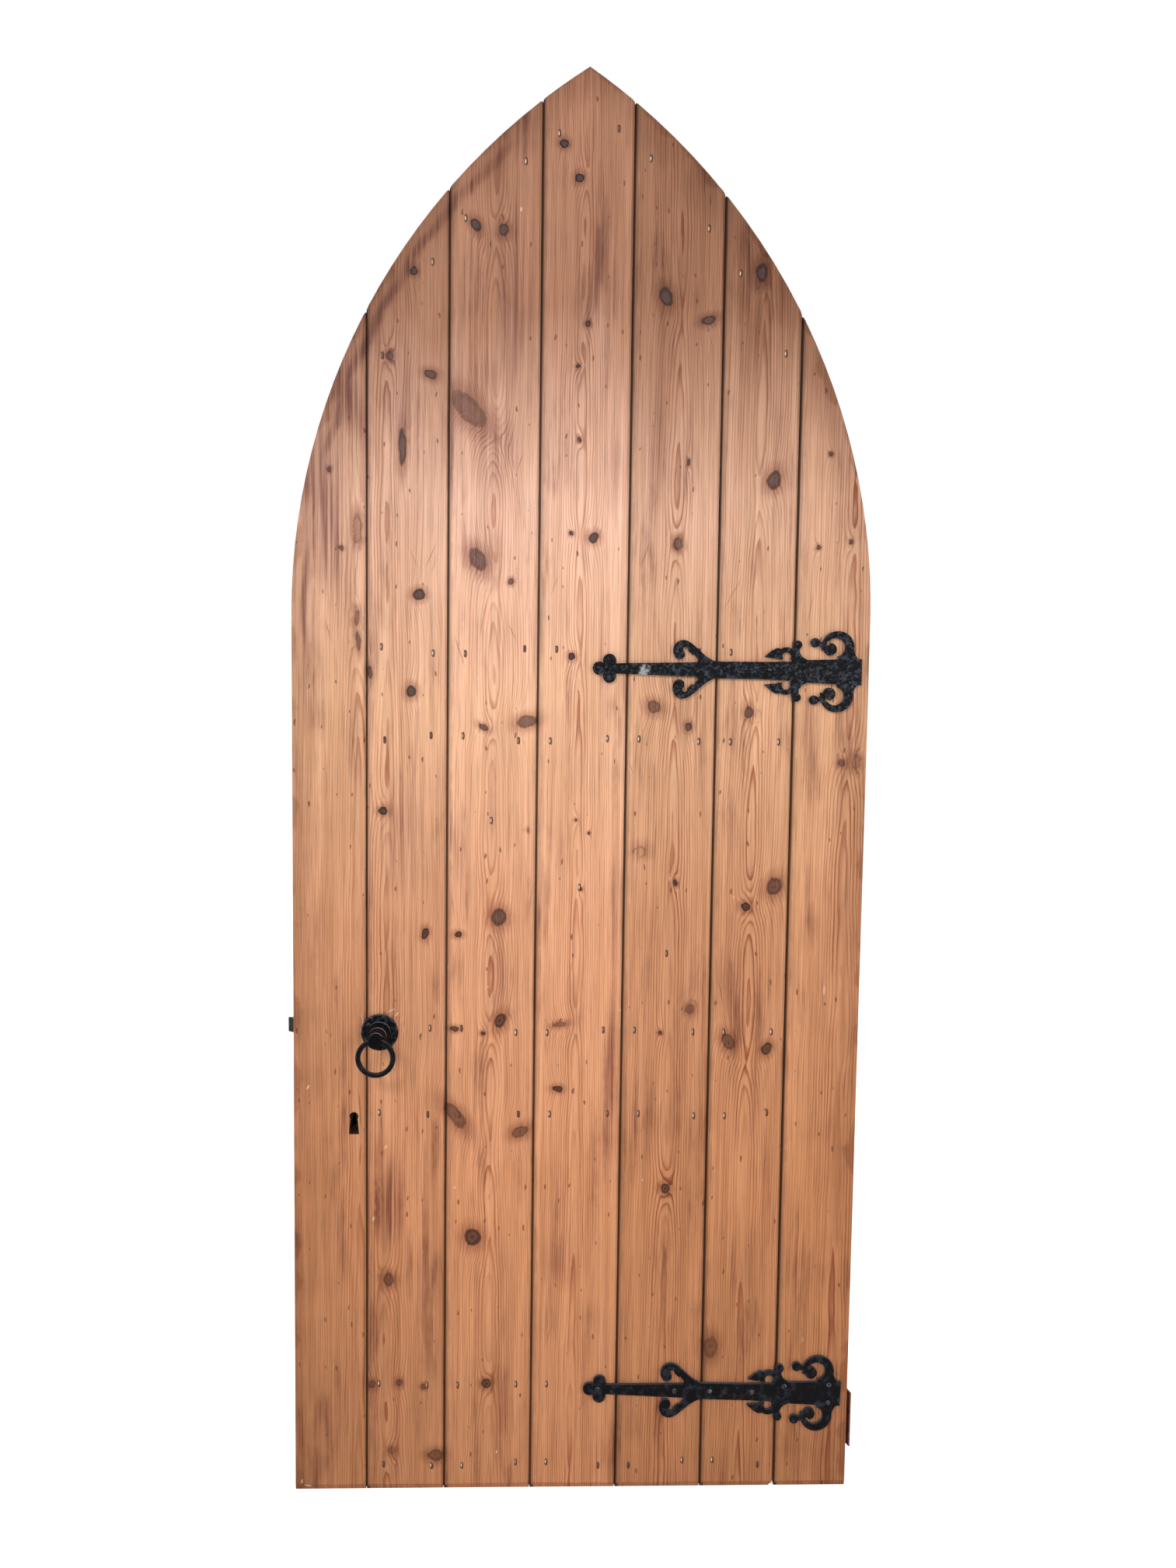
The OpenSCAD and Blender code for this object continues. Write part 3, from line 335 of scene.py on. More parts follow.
def tone(red, green, blue):
    """A linear colour with alpha from screen values of 0 to 255."""

    def line(value):
        share = value / 255
        return share / 12.92 if share <= 0.04045 else ((share + 0.055) / 1.055) ** 2.4

    return (line(red), line(green), line(blue), 1.0)


def colour(label, note, red, green, blue):
    """A colour that a user may change."""
    return bpy.props.FloatVectorProperty(
        name=label, description=note, subtype="COLOR", size=4, min=0, max=1, default=tone(red, green, blue)
    )


# Tones and tints that a user has no need to change: on the pine, then on the iron and the nails.
SPECK_TONE = tone(108, 58, 36)
HALO_TINT = tone(168, 138, 136)
EDGE_TINT = tone(150, 124, 116)
FOOT_TINT = tone(214, 206, 208)
SCRATCH_TONE = tone(116, 70, 54)
FLECK_TONE = tone(232, 198, 168)
DRY_TONE = tone(188, 132, 96)
# Painted shade in the pits of the iron.
PIT_SHADE_TONE = tone(9, 9, 10)
# Painted highlight on the boss's ridges and painted shade in its grooves.
RIDGE_HIGHLIGHT_TONE = tone(116, 120, 134)
GROOVE_SHADE_TONE = tone(4, 4, 5)
BOLT_TONES = (tone(22, 21, 20), tone(62, 61, 58))
# Dark rusty iron of the nails, also their painted shade on one side.
NAIL_DARK_AND_SHADE_TONE = tone(42, 33, 30)
OLD_PUTTY_TONE = tone(150, 112, 84)
PAINTED_GLINT_TONE = tone(244, 230, 212)
WHITE = (1, 1, 1, 1)

# Places of the tones from the rim of a knot to its middle.
KNOT_STOPS = (0.08, 0.38, 0.64, 0.84, 1.0)


def number(label, note, default, high=None, **kind):
    """A number that a user may change."""
    if high is not None:
        kind["max"] = high
    return bpy.props.FloatProperty(name=label, description=note, default=default, min=0, **kind)


class DoorTimber(bpy.types.PropertyGroup):
    """Tones and sizes of the waxed pine."""

    foot_tone: colour("Foot Tone", "Pine at the foot of the leaf", 199, 138, 97)
    low_tone: colour("Low Tone", "Pine below the ring", 215, 149, 106)
    hand_tone: colour("Hand Tone", "Pine above the ring", 226, 164, 125)
    # Palest pine at the middle of the leaf, partly a painted sheen.
    middle_tone: colour("Middle Tone", "Palest pine, at the middle of the leaf", 243, 189, 152)
    upper_tone: colour("Upper Tone", "Pine at the spring of the arch", 239, 190, 164)
    top_tone: colour("Top Tone", "Pine under the point", 171, 122, 95)
    late_tone: colour("Late Wood", "Tint of the hard lines of the grain", 178, 130, 110)
    knot_tone: colour("Knot", "Middle of a knot", 96, 58, 42)
    ripe_tone: colour("Old Knot", "Middle of the grey knots in the upper part", 72, 58, 60)
    rim_tone: colour("Knot Rim", "Dark rim of a knot", 34, 18, 13)
    stain_tone: colour("Stain", "Tint of the old purple stains", 158, 132, 142)
    # Tone of the dirt and of the painted shade in the joints, in the keyhole and round the nails.
    grime_tone: colour("Grime", "Dirt in the joints and round the nails", 38, 28, 24)
    back_tone: colour("Back Tone", "Drier pine on the back", 212, 158, 118)
    arris: number("Worn Arris", "Rounding of the boards' edges", 0.0007, 0.003, unit="LENGTH")
    polish: number("Wax", "Weight of the wax on the front", 0.02, 1.0, subtype="FACTOR")


class DoorIron(bpy.types.PropertyGroup):
    """Tones and sizes of the ironwork."""

    black: colour("Black", "Blackened iron", 12, 12, 15)
    # Tone of the painted highlights on the lumps and the upper rims of the iron.
    worn: colour("Worn Black", "Rubbed high spots of the iron", 94, 102, 116)
    bare: colour("Bare Iron", "Iron rubbed bright", 176, 178, 180)
    rust: colour("Rust", "Brown rust on the butts", 146, 88, 60)
    old_rust: colour("Old Rust", "Dark rust on the butts", 92, 60, 47)
    dull_steel: colour("Dull Steel", "Darker lines of the worn steel", 112, 110, 106)
    steel: colour("Steel", "Lighter lines of the worn steel", 150, 147, 142)
    putty: colour("Putty", "Filling over the nail heads", 214, 176, 142)
    cast_edge: number("Cast Edge", "Rounding of the hinge fronts", 0.0014, 0.004, unit="LENGTH")


class DoorStage(bpy.types.PropertyGroup):
    """The studio round the door."""

    floor: colour("Floor", "Pale floor", 236, 236, 236)
    key: number("Key", "Power of the key lamp", 60, unit="POWER")
    fill: number("Fill", "Power of the fill lamp", 34, unit="POWER")
    rear: number("Rear", "Power of the rear lamp", 60, unit="POWER")
    sky: number("Sky", "Strength of the even studio light", 0.55, 2.0, subtype="FACTOR")


class Sheet:
    """Adds nodes to one shader tree and links what they are given."""

    def __init__(self, tree):
        self.tree = tree

    def feed(self, socket, value):
        if isinstance(value, bpy.types.NodeSocket):
            self.tree.links.new(value, socket)
        else:
            socket.default_value = value

    def feed_all(self, node, feeds):
        for key, value in feeds.items():
            self.feed(node.inputs[key], value)

    def add(self, kind, feeds=None, **settings):
        node = self.tree.nodes.new(kind)
        for key, value in settings.items():
            setattr(node, key, value)
        self.feed_all(node, feeds or {})
        return node

    def math(self, operation, *values, clamp=False):
        node = self.add("ShaderNodeMath", dict(enumerate(values)), operation=operation, use_clamp=clamp)
        return node.outputs[0]

    def centred(self, value):
        return self.math("SUBTRACT", value, 0.5)

    def vector(self, operation, *values):
        node = self.add("ShaderNodeVectorMath", dict(enumerate(values)), operation=operation)
        return node.outputs["Value" if operation == "LENGTH" else "Vector"]

    def parts(self, vector):
        return self.add("ShaderNodeSeparateXYZ", {0: vector}).outputs

    def across_up(self, vector):
        parts = self.parts(vector)
        return parts["X"], parts["Z"]

    def join(self, x, y, z):
        return self.add("ShaderNodeCombineXYZ", {0: x, 1: y, 2: z}).outputs[0]

    def span(self, value, low, high, first=0.0, last=1.0):
        feeds = {"Value": value, "From Min": low, "From Max": high, "To Min": first, "To Max": last}
        return self.add("ShaderNodeMapRange", feeds, interpolation_type="SMOOTHSTEP").outputs[0]

    def blend(self, portion, first, second, mode="MIX"):
        feeds = {0: portion, 6: first, 7: second}
        return self.add("ShaderNodeMix", feeds, data_type="RGBA", blend_type=mode).outputs[2]

    def tint(self, portion, base, shade):
        return self.blend(portion, base, self.blend(1.0, base, shade, "MULTIPLY"))

    def paint(self, mask, strength, base, shade):
        return self.blend(self.math("MULTIPLY", mask, strength), base, shade)

    def noise(self, vector, scale=1.0, detail=2.0, rough=0.5):
        feeds = {"Vector": vector, "Scale": scale, "Detail": detail, "Roughness": rough}
        return self.add("ShaderNodeTexNoise", feeds).outputs[0]

    def ramp(self, value, stops):
        node = self.add("ShaderNodeValToRGB", {0: value})
        marks = node.color_ramp.elements
        while len(marks) < len(stops):
            marks.new(1.0)
        for mark, (place, shade) in zip(marks, stops):
            mark.position = place
            mark.color = shade
        return node.outputs[0]

    def group(self, tree, feeds):
        return self.add("ShaderNodeGroup", feeds, node_tree=tree).outputs

    def place(self):
        return self.add("ShaderNodeTexCoord").outputs["Object"]

    def facing(self):
        return self.parts(self.add("ShaderNodeTexCoord").outputs["Normal"])

    def local(self, vector, **feeds):
        feeds["Vector"] = vector
        return self.add("ShaderNodeMapping", feeds, vector_type="TEXTURE").outputs[0]


# Kinds of the named sockets that aren't plain values.
KINDS = dict.fromkeys(("Vector", "Centre", "Lean", "Size"), "NodeSocketVector")
KINDS["Color"] = "NodeSocketColor"


def effect(name, inputs, outputs, draw):
    """A shader node group with named sockets, built once."""
    tree = bpy.data.node_groups.get(name)
    if tree:
        return tree
    tree = bpy.data.node_groups.new(name, "ShaderNodeTree")
    for side, labels in (("INPUT", inputs), ("OUTPUT", outputs)):
        for label in labels.split():
            kind = KINDS.get(label, "NodeSocketFloat")
            tree.interface.new_socket(name=label, in_out=side, socket_type=kind)
    given = tree.nodes.new("NodeGroupInput").outputs
    taken = tree.nodes.new("NodeGroupOutput").inputs
    sheet = Sheet(tree)
    for label, value in draw(sheet, given).items():
        sheet.feed(taken[label], value)
    return tree


def pine_grain():
    """Growth rings on a sawn face: flames over the heart line, straight lines beside it."""

    def draw(sheet, given):
        x, z = sheet.across_up(given["Vector"])

        def cloud(across, along):
            side, up = sheet.math("MULTIPLY", x, across), sheet.math("MULTIPLY", z, along)
            return sheet.noise(sheet.join(side, given["Seed"], up))

        drift = sheet.math("MULTIPLY", sheet.centred(cloud(0.0, 1.9)), given["Sway"])
        across = sheet.math("ADD", sheet.math("SUBTRACT", x, given["Heart"]), drift)
        flat = sheet.math("MULTIPLY", across, across)
        deep = sheet.math("MULTIPLY", given["Depth"], given["Depth"])
        radius = sheet.math("SQRT", sheet.math("ADD", flat, deep))
        waver = sheet.math("MULTIPLY", sheet.centred(cloud(10.0, 5.5)), given["Waver"])
        shake = sheet.math("MULTIPLY", sheet.centred(cloud(90.0, 13.0)), 0.003)
        rise = sheet.math("MULTIPLY", z, given["Taper"])
        reach = sheet.math("ADD", sheet.math("ADD", radius, rise), sheet.math("ADD", waver, shake))
        age = sheet.math("ADD", sheet.math("DIVIDE", reach, given["Ring"]), given["Lift"])
        year = sheet.math("FRACT", age)
        lot = sheet.add("ShaderNodeTexWhiteNoise", {"W": sheet.math("FLOOR", age)}, noise_dimensions="1D")
        rising = sheet.span(year, 0.4, 0.9)
        falling = sheet.span(year, 0.94, 1.0, 1.0, 0.0)
        weight = sheet.math("MULTIPLY_ADD", lot.outputs["Value"], 0.7, 0.3)
        late = sheet.math("MULTIPLY", sheet.math("MULTIPLY", rising, falling), weight)
        clear = sheet.span(cloud(30.0, 6.0), 0.3, 0.62, 0.35, 1.0)
        fade = sheet.span(sheet.math("ABSOLUTE", across), 0.010, 0.046, 1.0, 0.5)
        return {"Late": sheet.math("MULTIPLY", late, sheet.math("MULTIPLY", clear, fade))}

    return effect("Pine Grain", "Vector Heart Depth Ring Taper Waver Sway Seed Lift", "Late", draw)


def pine_fibre():
    """Fine fibre, strands, broader streaks and slow cloudiness along the board."""

    def draw(sheet, given):
        x, y, z = sheet.parts(given["Vector"])
        seed = given["Seed"]

        def band(across, along, shift):
            side = sheet.math("ADD", sheet.math("MULTIPLY", x, across), seed)
            depth = sheet.math("MULTIPLY_ADD", y, across, shift)
            return sheet.noise(sheet.join(side, depth, sheet.math("MULTIPLY", z, along)), detail=3.0)

        return {
            "Fibre": band(700.0, 14.0, 0.0),
            "Strand": band(260.0, 5.0, 3.0),
            "Streak": band(100.0, 2.4, 5.0),
            "Cloud": band(16.0, 3.2, 9.0),
        }

    return effect("Pine Fibre", "Vector Seed", "Fibre Strand Streak Cloud", draw)


def in_mark(sheet, given):
    """The point being coloured, seen from the place, lean and size of a knot or spot."""
    return sheet.local(given["Vector"], Location=given["Centre"], Rotation=given["Lean"], Scale=given["Size"])


def pine_knot():
    """One knot: it lifts the rings round it and adds its heart and its halo to what came before."""

    def draw(sheet, given):
        spot = in_mark(sheet, given)
        near = sheet.vector("LENGTH", spot)
        long = sheet.vector("LENGTH", sheet.vector("MULTIPLY", spot, (0.62, 0.0, 0.3)))
        swell = sheet.math("DIVIDE", given["Swell"], sheet.math("MULTIPLY_ADD", long, long, 1.0))
        heart = sheet.math("SUBTRACT", 1.1, near, clamp=True)
        within = sheet.span(near, 0.9, 1.1, 1.0, 0.0)
        halo = sheet.span(near, 0.7, 2.7, 1.0, 0.0)
        return {
            "Lift": sheet.math("ADD", given["Lift"], swell),
            "Heart": sheet.math("MAXIMUM", given["Heart"], heart),
            "Halo": sheet.math("MAXIMUM", given["Halo"], halo),
            "Open": sheet.math("MAXIMUM", given["Open"], sheet.math("MULTIPLY", within, given["Pale"])),
        }

    inputs = "Vector Centre Lean Size Swell Pale Lift Heart Halo Open"
    return effect("Pine Knot", inputs, "Lift Heart Halo Open", draw)


def soft_spot():
    """One soft oval, added to the spots that came before."""

    def draw(sheet, given):
        near = sheet.vector("LENGTH", in_mark(sheet, given))
        round_it = sheet.span(near, given["Firm"], 1.0, 1.0, 0.0)
        strong = sheet.math("MULTIPLY", round_it, given["Strength"])
        return {"Spots": sheet.math("MAXIMUM", given["Spots"], strong)}

    return effect("Soft Spot", "Vector Centre Lean Size Firm Strength Spots", "Spots", draw)


def leaf_edge():
    """Dirt towards the leaf's outline, the tide line of an old stain and the scuffed strip at the foot."""

    def draw(sheet, given):
        x, z = sheet.across_up(given["Vector"])
        above = sheet.math("MAXIMUM", sheet.math("SUBTRACT", z, given["Spring"]), 0.0)
        aside = sheet.math("ADD", sheet.math("ABSOLUTE", x), given["Offset"])
        reach = sheet.vector("LENGTH", sheet.join(aside, 0.0, above))
        inside = sheet.math("SUBTRACT", given["Radius"], reach)
        cloud = sheet.centred(sheet.noise(given["Vector"], scale=14.0, detail=3.0))
        ragged = sheet.math("MULTIPLY_ADD", cloud, 0.07, inside)
        broad = sheet.span(ragged, 0.0, 0.06, 1.0, 0.0)
        tight = sheet.span(ragged, -0.004, 0.012, 1.0, 0.0)
        low = sheet.math("MULTIPLY_ADD", cloud, 0.005, z)
        foot = sheet.span(low, 0.0058, 0.0074, 1.0, 0.0)
        off_line = sheet.math("ABSOLUTE", sheet.math("SUBTRACT", low, 0.007))
        crease = sheet.span(off_line, 0.0003, 0.0012, 1.0, 0.0)
        edge = sheet.math("MAXIMUM", sheet.math("MULTIPLY", broad, 0.55), tight)
        parallel = sheet.math("SUBTRACT", sheet.math("MULTIPLY_ADD", cloud, 0.024, inside), 0.019)
        tide = sheet.span(sheet.math("ABSOLUTE", parallel), 0.001, 0.011, 0.75, 0.0)
        tide = sheet.math("MULTIPLY", tide, sheet.span(z, 1.0, 1.3))
        tide = sheet.math("MULTIPLY", tide, sheet.span(x, -0.16, -0.05, 1.0, 0.0))
        return {"Edge": edge, "Foot": foot, "Crease": crease, "Tide": tide}

    return effect("Leaf Edge", "Vector Spring Offset Radius", "Edge Foot Crease Tide", draw)


def resin_specks():
    """Scattered brown specks along the grain, and a few pale flecks."""

    def draw(sheet, given):
        x, z = sheet.across_up(given["Vector"])
        side = sheet.math("MULTIPLY_ADD", x, 54.0, given["Seed"])
        feeds = {"Vector": sheet.join(side, sheet.math("MULTIPLY", z, 19.0), 0.0), "Scale": 1.0}
        dots = sheet.add("ShaderNodeTexVoronoi", feeds, voronoi_dimensions="2D").outputs
        lot = sheet.add("ShaderNodeSeparateColor", {0: dots["Color"]}).outputs
        size = sheet.math("MULTIPLY_ADD", lot["Blue"], 0.075, 0.03)
        dot = sheet.span(sheet.math("DIVIDE", dots["Distance"], size), 0.5, 1.0, 1.0, 0.0)
        some = sheet.span(lot["Red"], 0.72, 0.74)
        few = sheet.span(lot["Red"], 0.005, 0.009, 1.0, 0.0)
        return {"Speck": sheet.math("MULTIPLY", dot, some), "Fleck": sheet.math("MULTIPLY", dot, few)}

    return effect("Resin Specks", "Vector Seed", "Speck Fleck", draw)


def joint_grime_and_shade():
    """Dirt near the joints at both sides of a board, and painted shade deeper down in the grooves."""

    def draw(sheet, given):
        point = sheet.parts(given["Vector"])
        x, y = point["X"], point["Y"]
        left = sheet.math("ABSOLUTE", sheet.math("SUBTRACT", x, given["Left"]))
        right = sheet.math("ABSOLUTE", sheet.math("SUBTRACT", x, given["Right"]))
        side = sheet.math("MINIMUM", left, right)
        sunk = sheet.math("SUBTRACT", y, given["Face"])
        cloud = sheet.noise(given["Vector"], scale=40.0, detail=3.0)
        near = sheet.span(side, 0.002, sheet.math("MULTIPLY_ADD", cloud, 0.014, 0.002), 0.4, 0.0)
        deep = sheet.span(sunk, 0.0, 0.0014)
        # Painted shade: darker the deeper the groove sinks below the face.
        groove = sheet.math("MULTIPLY", deep, sheet.span(side, 0.004, 0.006, 1.0, 0.0))
        return {"Joint": sheet.math("MAXIMUM", near, groove)}

    return effect("Joint Grime", "Vector Left Right Face", "Joint", draw)


def pine_tone_and_sheen():
    """Base tone of the pine up the height of the leaf, partly its own tone and partly painted sheen and
    shade.
    """
    timber = bpy.context.scene.door_timber

    def draw(sheet, given):
        z = sheet.parts(given["Vector"])["Z"]
        cloud = sheet.centred(given["Cloud"])
        height = sheet.math("DIVIDE", sheet.math("MULTIPLY_ADD", cloud, 0.22, z), APEX)
        # Palest at the middle of the leaf, darker towards the foot and the point: partly the pine's own tone,
        # partly a painted sheen and painted shade of the light falling off.
        stops = (
            (0.02, timber.foot_tone),
            (0.22, timber.low_tone),
            (0.42, timber.hand_tone),
            (0.57, timber.middle_tone),
            (0.71, timber.upper_tone),
            (0.84, timber.top_tone),
        )
        base = sheet.ramp(height, stops)
        light = sheet.math("MULTIPLY", given["Light"], sheet.math("MULTIPLY_ADD", cloud, 0.34, 1.0))
        green = sheet.math("MULTIPLY", light, sheet.math("MULTIPLY_ADD", given["Warmth"], -0.04, 1.0))
        blue = sheet.math("MULTIPLY", light, sheet.math("MULTIPLY_ADD", given["Warmth"], -0.13, 1.0))
        return {"Color": sheet.blend(1.0, base, sheet.join(light, green, blue), "MULTIPLY")}

    return effect("Pine Tone", "Vector Cloud Light Warmth", "Color", draw)


def pine_coat():
    """Puts grain, knots, stains, dirt and painted shade over the base tone, and gives gloss and relief."""
    timber = bpy.context.scene.door_timber
    brown_knot = (timber.rim_tone, tone(42, 24, 19), timber.knot_tone, tone(70, 42, 32), timber.rim_tone)
    grey_knot = (tone(24, 18, 19), tone(24, 18, 20), timber.ripe_tone, tone(68, 58, 61), tone(54, 45, 48))

    def draw(sheet, given):
        fibre = sheet.span(given["Fibre"], 0.25, 0.75)
        strand = sheet.span(given["Strand"], 0.3, 0.7)
        streak = sheet.span(given["Streak"], 0.3, 0.7)
        thread = sheet.math("MULTIPLY_ADD", fibre, 0.24, 0.88)
        cord = sheet.math("MULTIPLY_ADD", strand, 0.24, 0.88)
        band = sheet.math("MULTIPLY_ADD", streak, 0.15, 0.925)
        light = sheet.math("MULTIPLY", sheet.math("MULTIPLY", thread, cord), band)
        rosy = sheet.join(sheet.math("POWER", light, 0.8), light, sheet.math("POWER", light, 1.2))
        wood = sheet.blend(1.0, given["Color"], rosy, "MULTIPLY")
        wood = sheet.tint(sheet.math("MULTIPLY", given["Late"], given["Bold"]), wood, timber.late_tone)
        veined = sheet.math("SUBTRACT", 1.25, sheet.math("MULTIPLY", strand, 0.9))
        stain = sheet.math("MULTIPLY", given["Stain"], veined, clamp=True)
        wood = sheet.tint(stain, wood, timber.stain_tone)
        wood = sheet.paint(given["Speck"], 0.75, wood, SPECK_TONE)
        wood = sheet.tint(sheet.math("MULTIPLY", given["Halo"], 0.62), wood, HALO_TINT)
        grain = sheet.math("MULTIPLY_ADD", sheet.centred(fibre), 0.2, given["Heart"])
        brown, grey = (sheet.ramp(grain, tuple(zip(KNOT_STOPS, tones))) for tones in (brown_knot, grey_knot))
        knot = sheet.blend(given["Ripe"], brown, grey)
        cut = sheet.span(sheet.math("MULTIPLY_ADD", fibre, 0.16, given["Heart"]), 0.03, 0.32)
        firm = sheet.math("MULTIPLY_ADD", given["Open"], -0.72, 0.95)
        wood = sheet.paint(cut, firm, wood, knot)
        wood = sheet.tint(sheet.math("MULTIPLY", given["Edge"], 0.6), wood, EDGE_TINT)
        wood = sheet.tint(sheet.math("MULTIPLY", given["Foot"], 0.6), wood, FOOT_TINT)
        wood = sheet.paint(given["Scratch"], 0.7, wood, SCRATCH_TONE)
        wood = sheet.paint(given["Fleck"], 0.7, wood, FLECK_TONE)
        # Dirt and painted shade of the joints, the keyhole and the nails.
        dirt_and_shade = sheet.math("MAXIMUM", given["Joint"], given["Nail"])
        wood = sheet.paint(dirt_and_shade, 0.92, wood, timber.grime_tone)
        dull = sheet.math("MAXIMUM", dirt_and_shade, sheet.math("MAXIMUM", given["Edge"], given["Foot"]))
        gloss = sheet.math("MULTIPLY_ADD", dull, 0.3, sheet.math("MULTIPLY_ADD", fibre, 0.12, 0.42))
        relief = sheet.math("MULTIPLY_ADD", given["Late"], 0.6, sheet.math("MULTIPLY", fibre, 0.35))
        relief = sheet.math("MULTIPLY_ADD", cut, 0.8, relief)
        worn = sheet.math("MAXIMUM", given["Scratch"], given["Fleck"])
        return {"Color": wood, "Gloss": gloss, "Relief": sheet.math("MULTIPLY_ADD", worn, -0.9, relief)}

    inputs = "Color Late Bold Fibre Strand Streak Heart Open Ripe Halo Stain Speck Fleck"
    return effect("Pine Coat", inputs + " Scratch Edge Foot Joint Nail", "Color Gloss Relief", draw)


def cast_skin():
    """Pitted skin of black iron: tone with painted highlights on lumps and painted shade in pits, gloss,
    relief.
    """
    iron = bpy.context.scene.door_iron

    def draw(sheet, given):
        place = sheet.vector("ADD", given["Vector"], sheet.join(given["Seed"], 0.0, 0.0))
        lumps = sheet.noise(place, scale=given["Lumps"], detail=2.0)
        pits = sheet.noise(place, scale=sheet.math("MULTIPLY", given["Lumps"], 3.4), detail=3.0, rough=0.6)
        sand = sheet.noise(place, scale=1600.0, detail=2.0)
        hole = sheet.math("MULTIPLY", sheet.span(pits, 0.52, 0.66), given["Pitting"])
        high = sheet.span(sheet.math("SUBTRACT", lumps, sheet.math("MULTIPLY", hole, 0.5)), 0.44, 0.68)
        # Painted highlights: the high lumps are lightened towards the worn tone.
        shade = sheet.paint(high, given["Wear"], iron.black, iron.worn)
        # Painted shade: the pits are darkened.
        shade = sheet.paint(hole, 0.8, shade, PIT_SHADE_TONE)
        gloss = sheet.math("MULTIPLY_ADD", pits, 0.3, given["Dull"])
        relief = sheet.math("MULTIPLY_ADD", lumps, 0.9, sheet.math("MULTIPLY", sand, 0.08))
        relief = sheet.math("SUBTRACT", relief, sheet.math("MULTIPLY", hole, 0.6))
        return {"Color": shade, "Gloss": gloss, "Relief": relief, "High": high}

    return effect("Cast Skin", "Vector Lumps Pitting Wear Seed Dull", "Color Gloss Relief High", draw)


def rust_bloom():
    """Blotches of rust: a mask and a tone."""
    iron = bpy.context.scene.door_iron

    def draw(sheet, given):
        broad = sheet.noise(given["Vector"], scale=90.0, detail=4.0, rough=0.6)
        grit = sheet.noise(given["Vector"], scale=700.0, detail=3.0)
        level = sheet.math("MULTIPLY_ADD", grit, 0.2, broad)
        mask = sheet.span(level, given["From"], sheet.math("ADD", given["From"], 0.2))
        shade = sheet.blend(sheet.span(grit, 0.35, 0.65), iron.old_rust, iron.rust)
        return {"Rust": mask, "Color": shade, "Grit": grit}

    return effect("Rust Bloom", "Vector From", "Rust Color Grit", draw)


def finish(name):
    """A new material: its sheet and its shader."""
    material = bpy.data.materials.new(name)
    material.use_nodes = True
    sheet = Sheet(material.node_tree)
    return material, sheet, material.node_tree.nodes["Principled BSDF"]


def bump(sheet, shader, height, depth, strength):
    """Relief of the given depth in metres."""
    feeds = {"Height": height, "Distance": depth, "Strength": strength}
    sheet.feed(shader.inputs["Normal"], sheet.add("ShaderNodeBump", feeds).outputs[0])


def lean(degrees):
    """Rotation of a mark in the face of the leaf."""
    return (0.0, math.radians(degrees), 0.0)


def welded(mesh):
    """A shape to work on, with the corners of the mesh joined."""
    shape = bmesh.new()
    shape.from_mesh(mesh)
    bmesh.ops.remove_doubles(shape, verts=shape.verts[:], dist=WELD)
    return shape


def nail_places():
    """Places of the nail heads on the front, read from the nails themselves."""
    places = []
    for node in NAILS:
        shape = welded(frame["nodes"][node].data)
        left = set(shape.verts)
        while left:
            found = [left.pop()]
            for vert in found:
                for edge in vert.link_edges:
                    other = edge.other_vert(vert)
                    if other in left:
                        left.discard(other)
                        found.append(other)
            places.append(sum((vert.co for vert in found), Vector()) / len(found))
        shape.free()
    return sorted((place.x, place.z) for place in places)


def mark_feeds(place, mark, face):
    """Where a knot or spot lies, from the first five values of its row."""
    x, z, wide, tall, turn = mark[:5]
    size = (wide / MM, ANY_DEPTH, tall / MM)
    return {"Vector": place, "Centre": (x / MM, face, z / MM), "Lean": lean(turn), "Size": size}


def knots_on(sheet, place, marks, face):
    """Chains the knots of one piece; gives its rings' lift, the hearts, the halos and the pale hearts."""
    knots = dict.fromkeys(("Lift", "Heart", "Halo", "Open"), 0.0)
    for mark in marks:
        feeds = mark_feeds(place, mark, face)
        feeds.update(knots, Swell=1.4 + mark[2] * 0.22, Pale=mark[5])
        out = sheet.group(pine_knot(), feeds)
        knots = {label: out[label] for label in knots}
    return knots


def spots_on(sheet, place, marks, firm):
    """Chains soft ovals of one kind on the front; gives their mask."""
    spots = 0.0
    for mark in marks:
        feeds = mark_feeds(place, mark, FRONT)
        feeds.update(Firm=firm, Strength=mark[5], Spots=spots)
        spots = sheet.group(soft_spot(), feeds)["Spots"]
    return spots


def arch():
    """What the leaf's edge needs to know of the pointed arch: its foot, its arcs' offset and their radius."""
    rise = APEX - ARCH_FOOT
    radius = (HALF_WIDTH**2 + rise**2) / (2 * HALF_WIDTH)
    return {"Spring": ARCH_FOOT, "Offset": radius - HALF_WIDTH, "Radius": radius}


def lay_pine(sheet, shader, fibre, feeds, strength):
    """Lays the pine coat on a shader, with relief of the given strength."""
    feeds.update({label: fibre[label] for label in ("Fibre", "Strand", "Streak")})
    coat = sheet.group(pine_coat(), feeds)
    sheet.feed_all(shader, {"Base Color": coat["Color"], "Roughness": coat["Gloss"]})
    bump(sheet, shader, coat["Relief"], PINE_RELIEF, strength)
    shader.inputs["Specular IOR Level"].default_value = PINE_SHINE


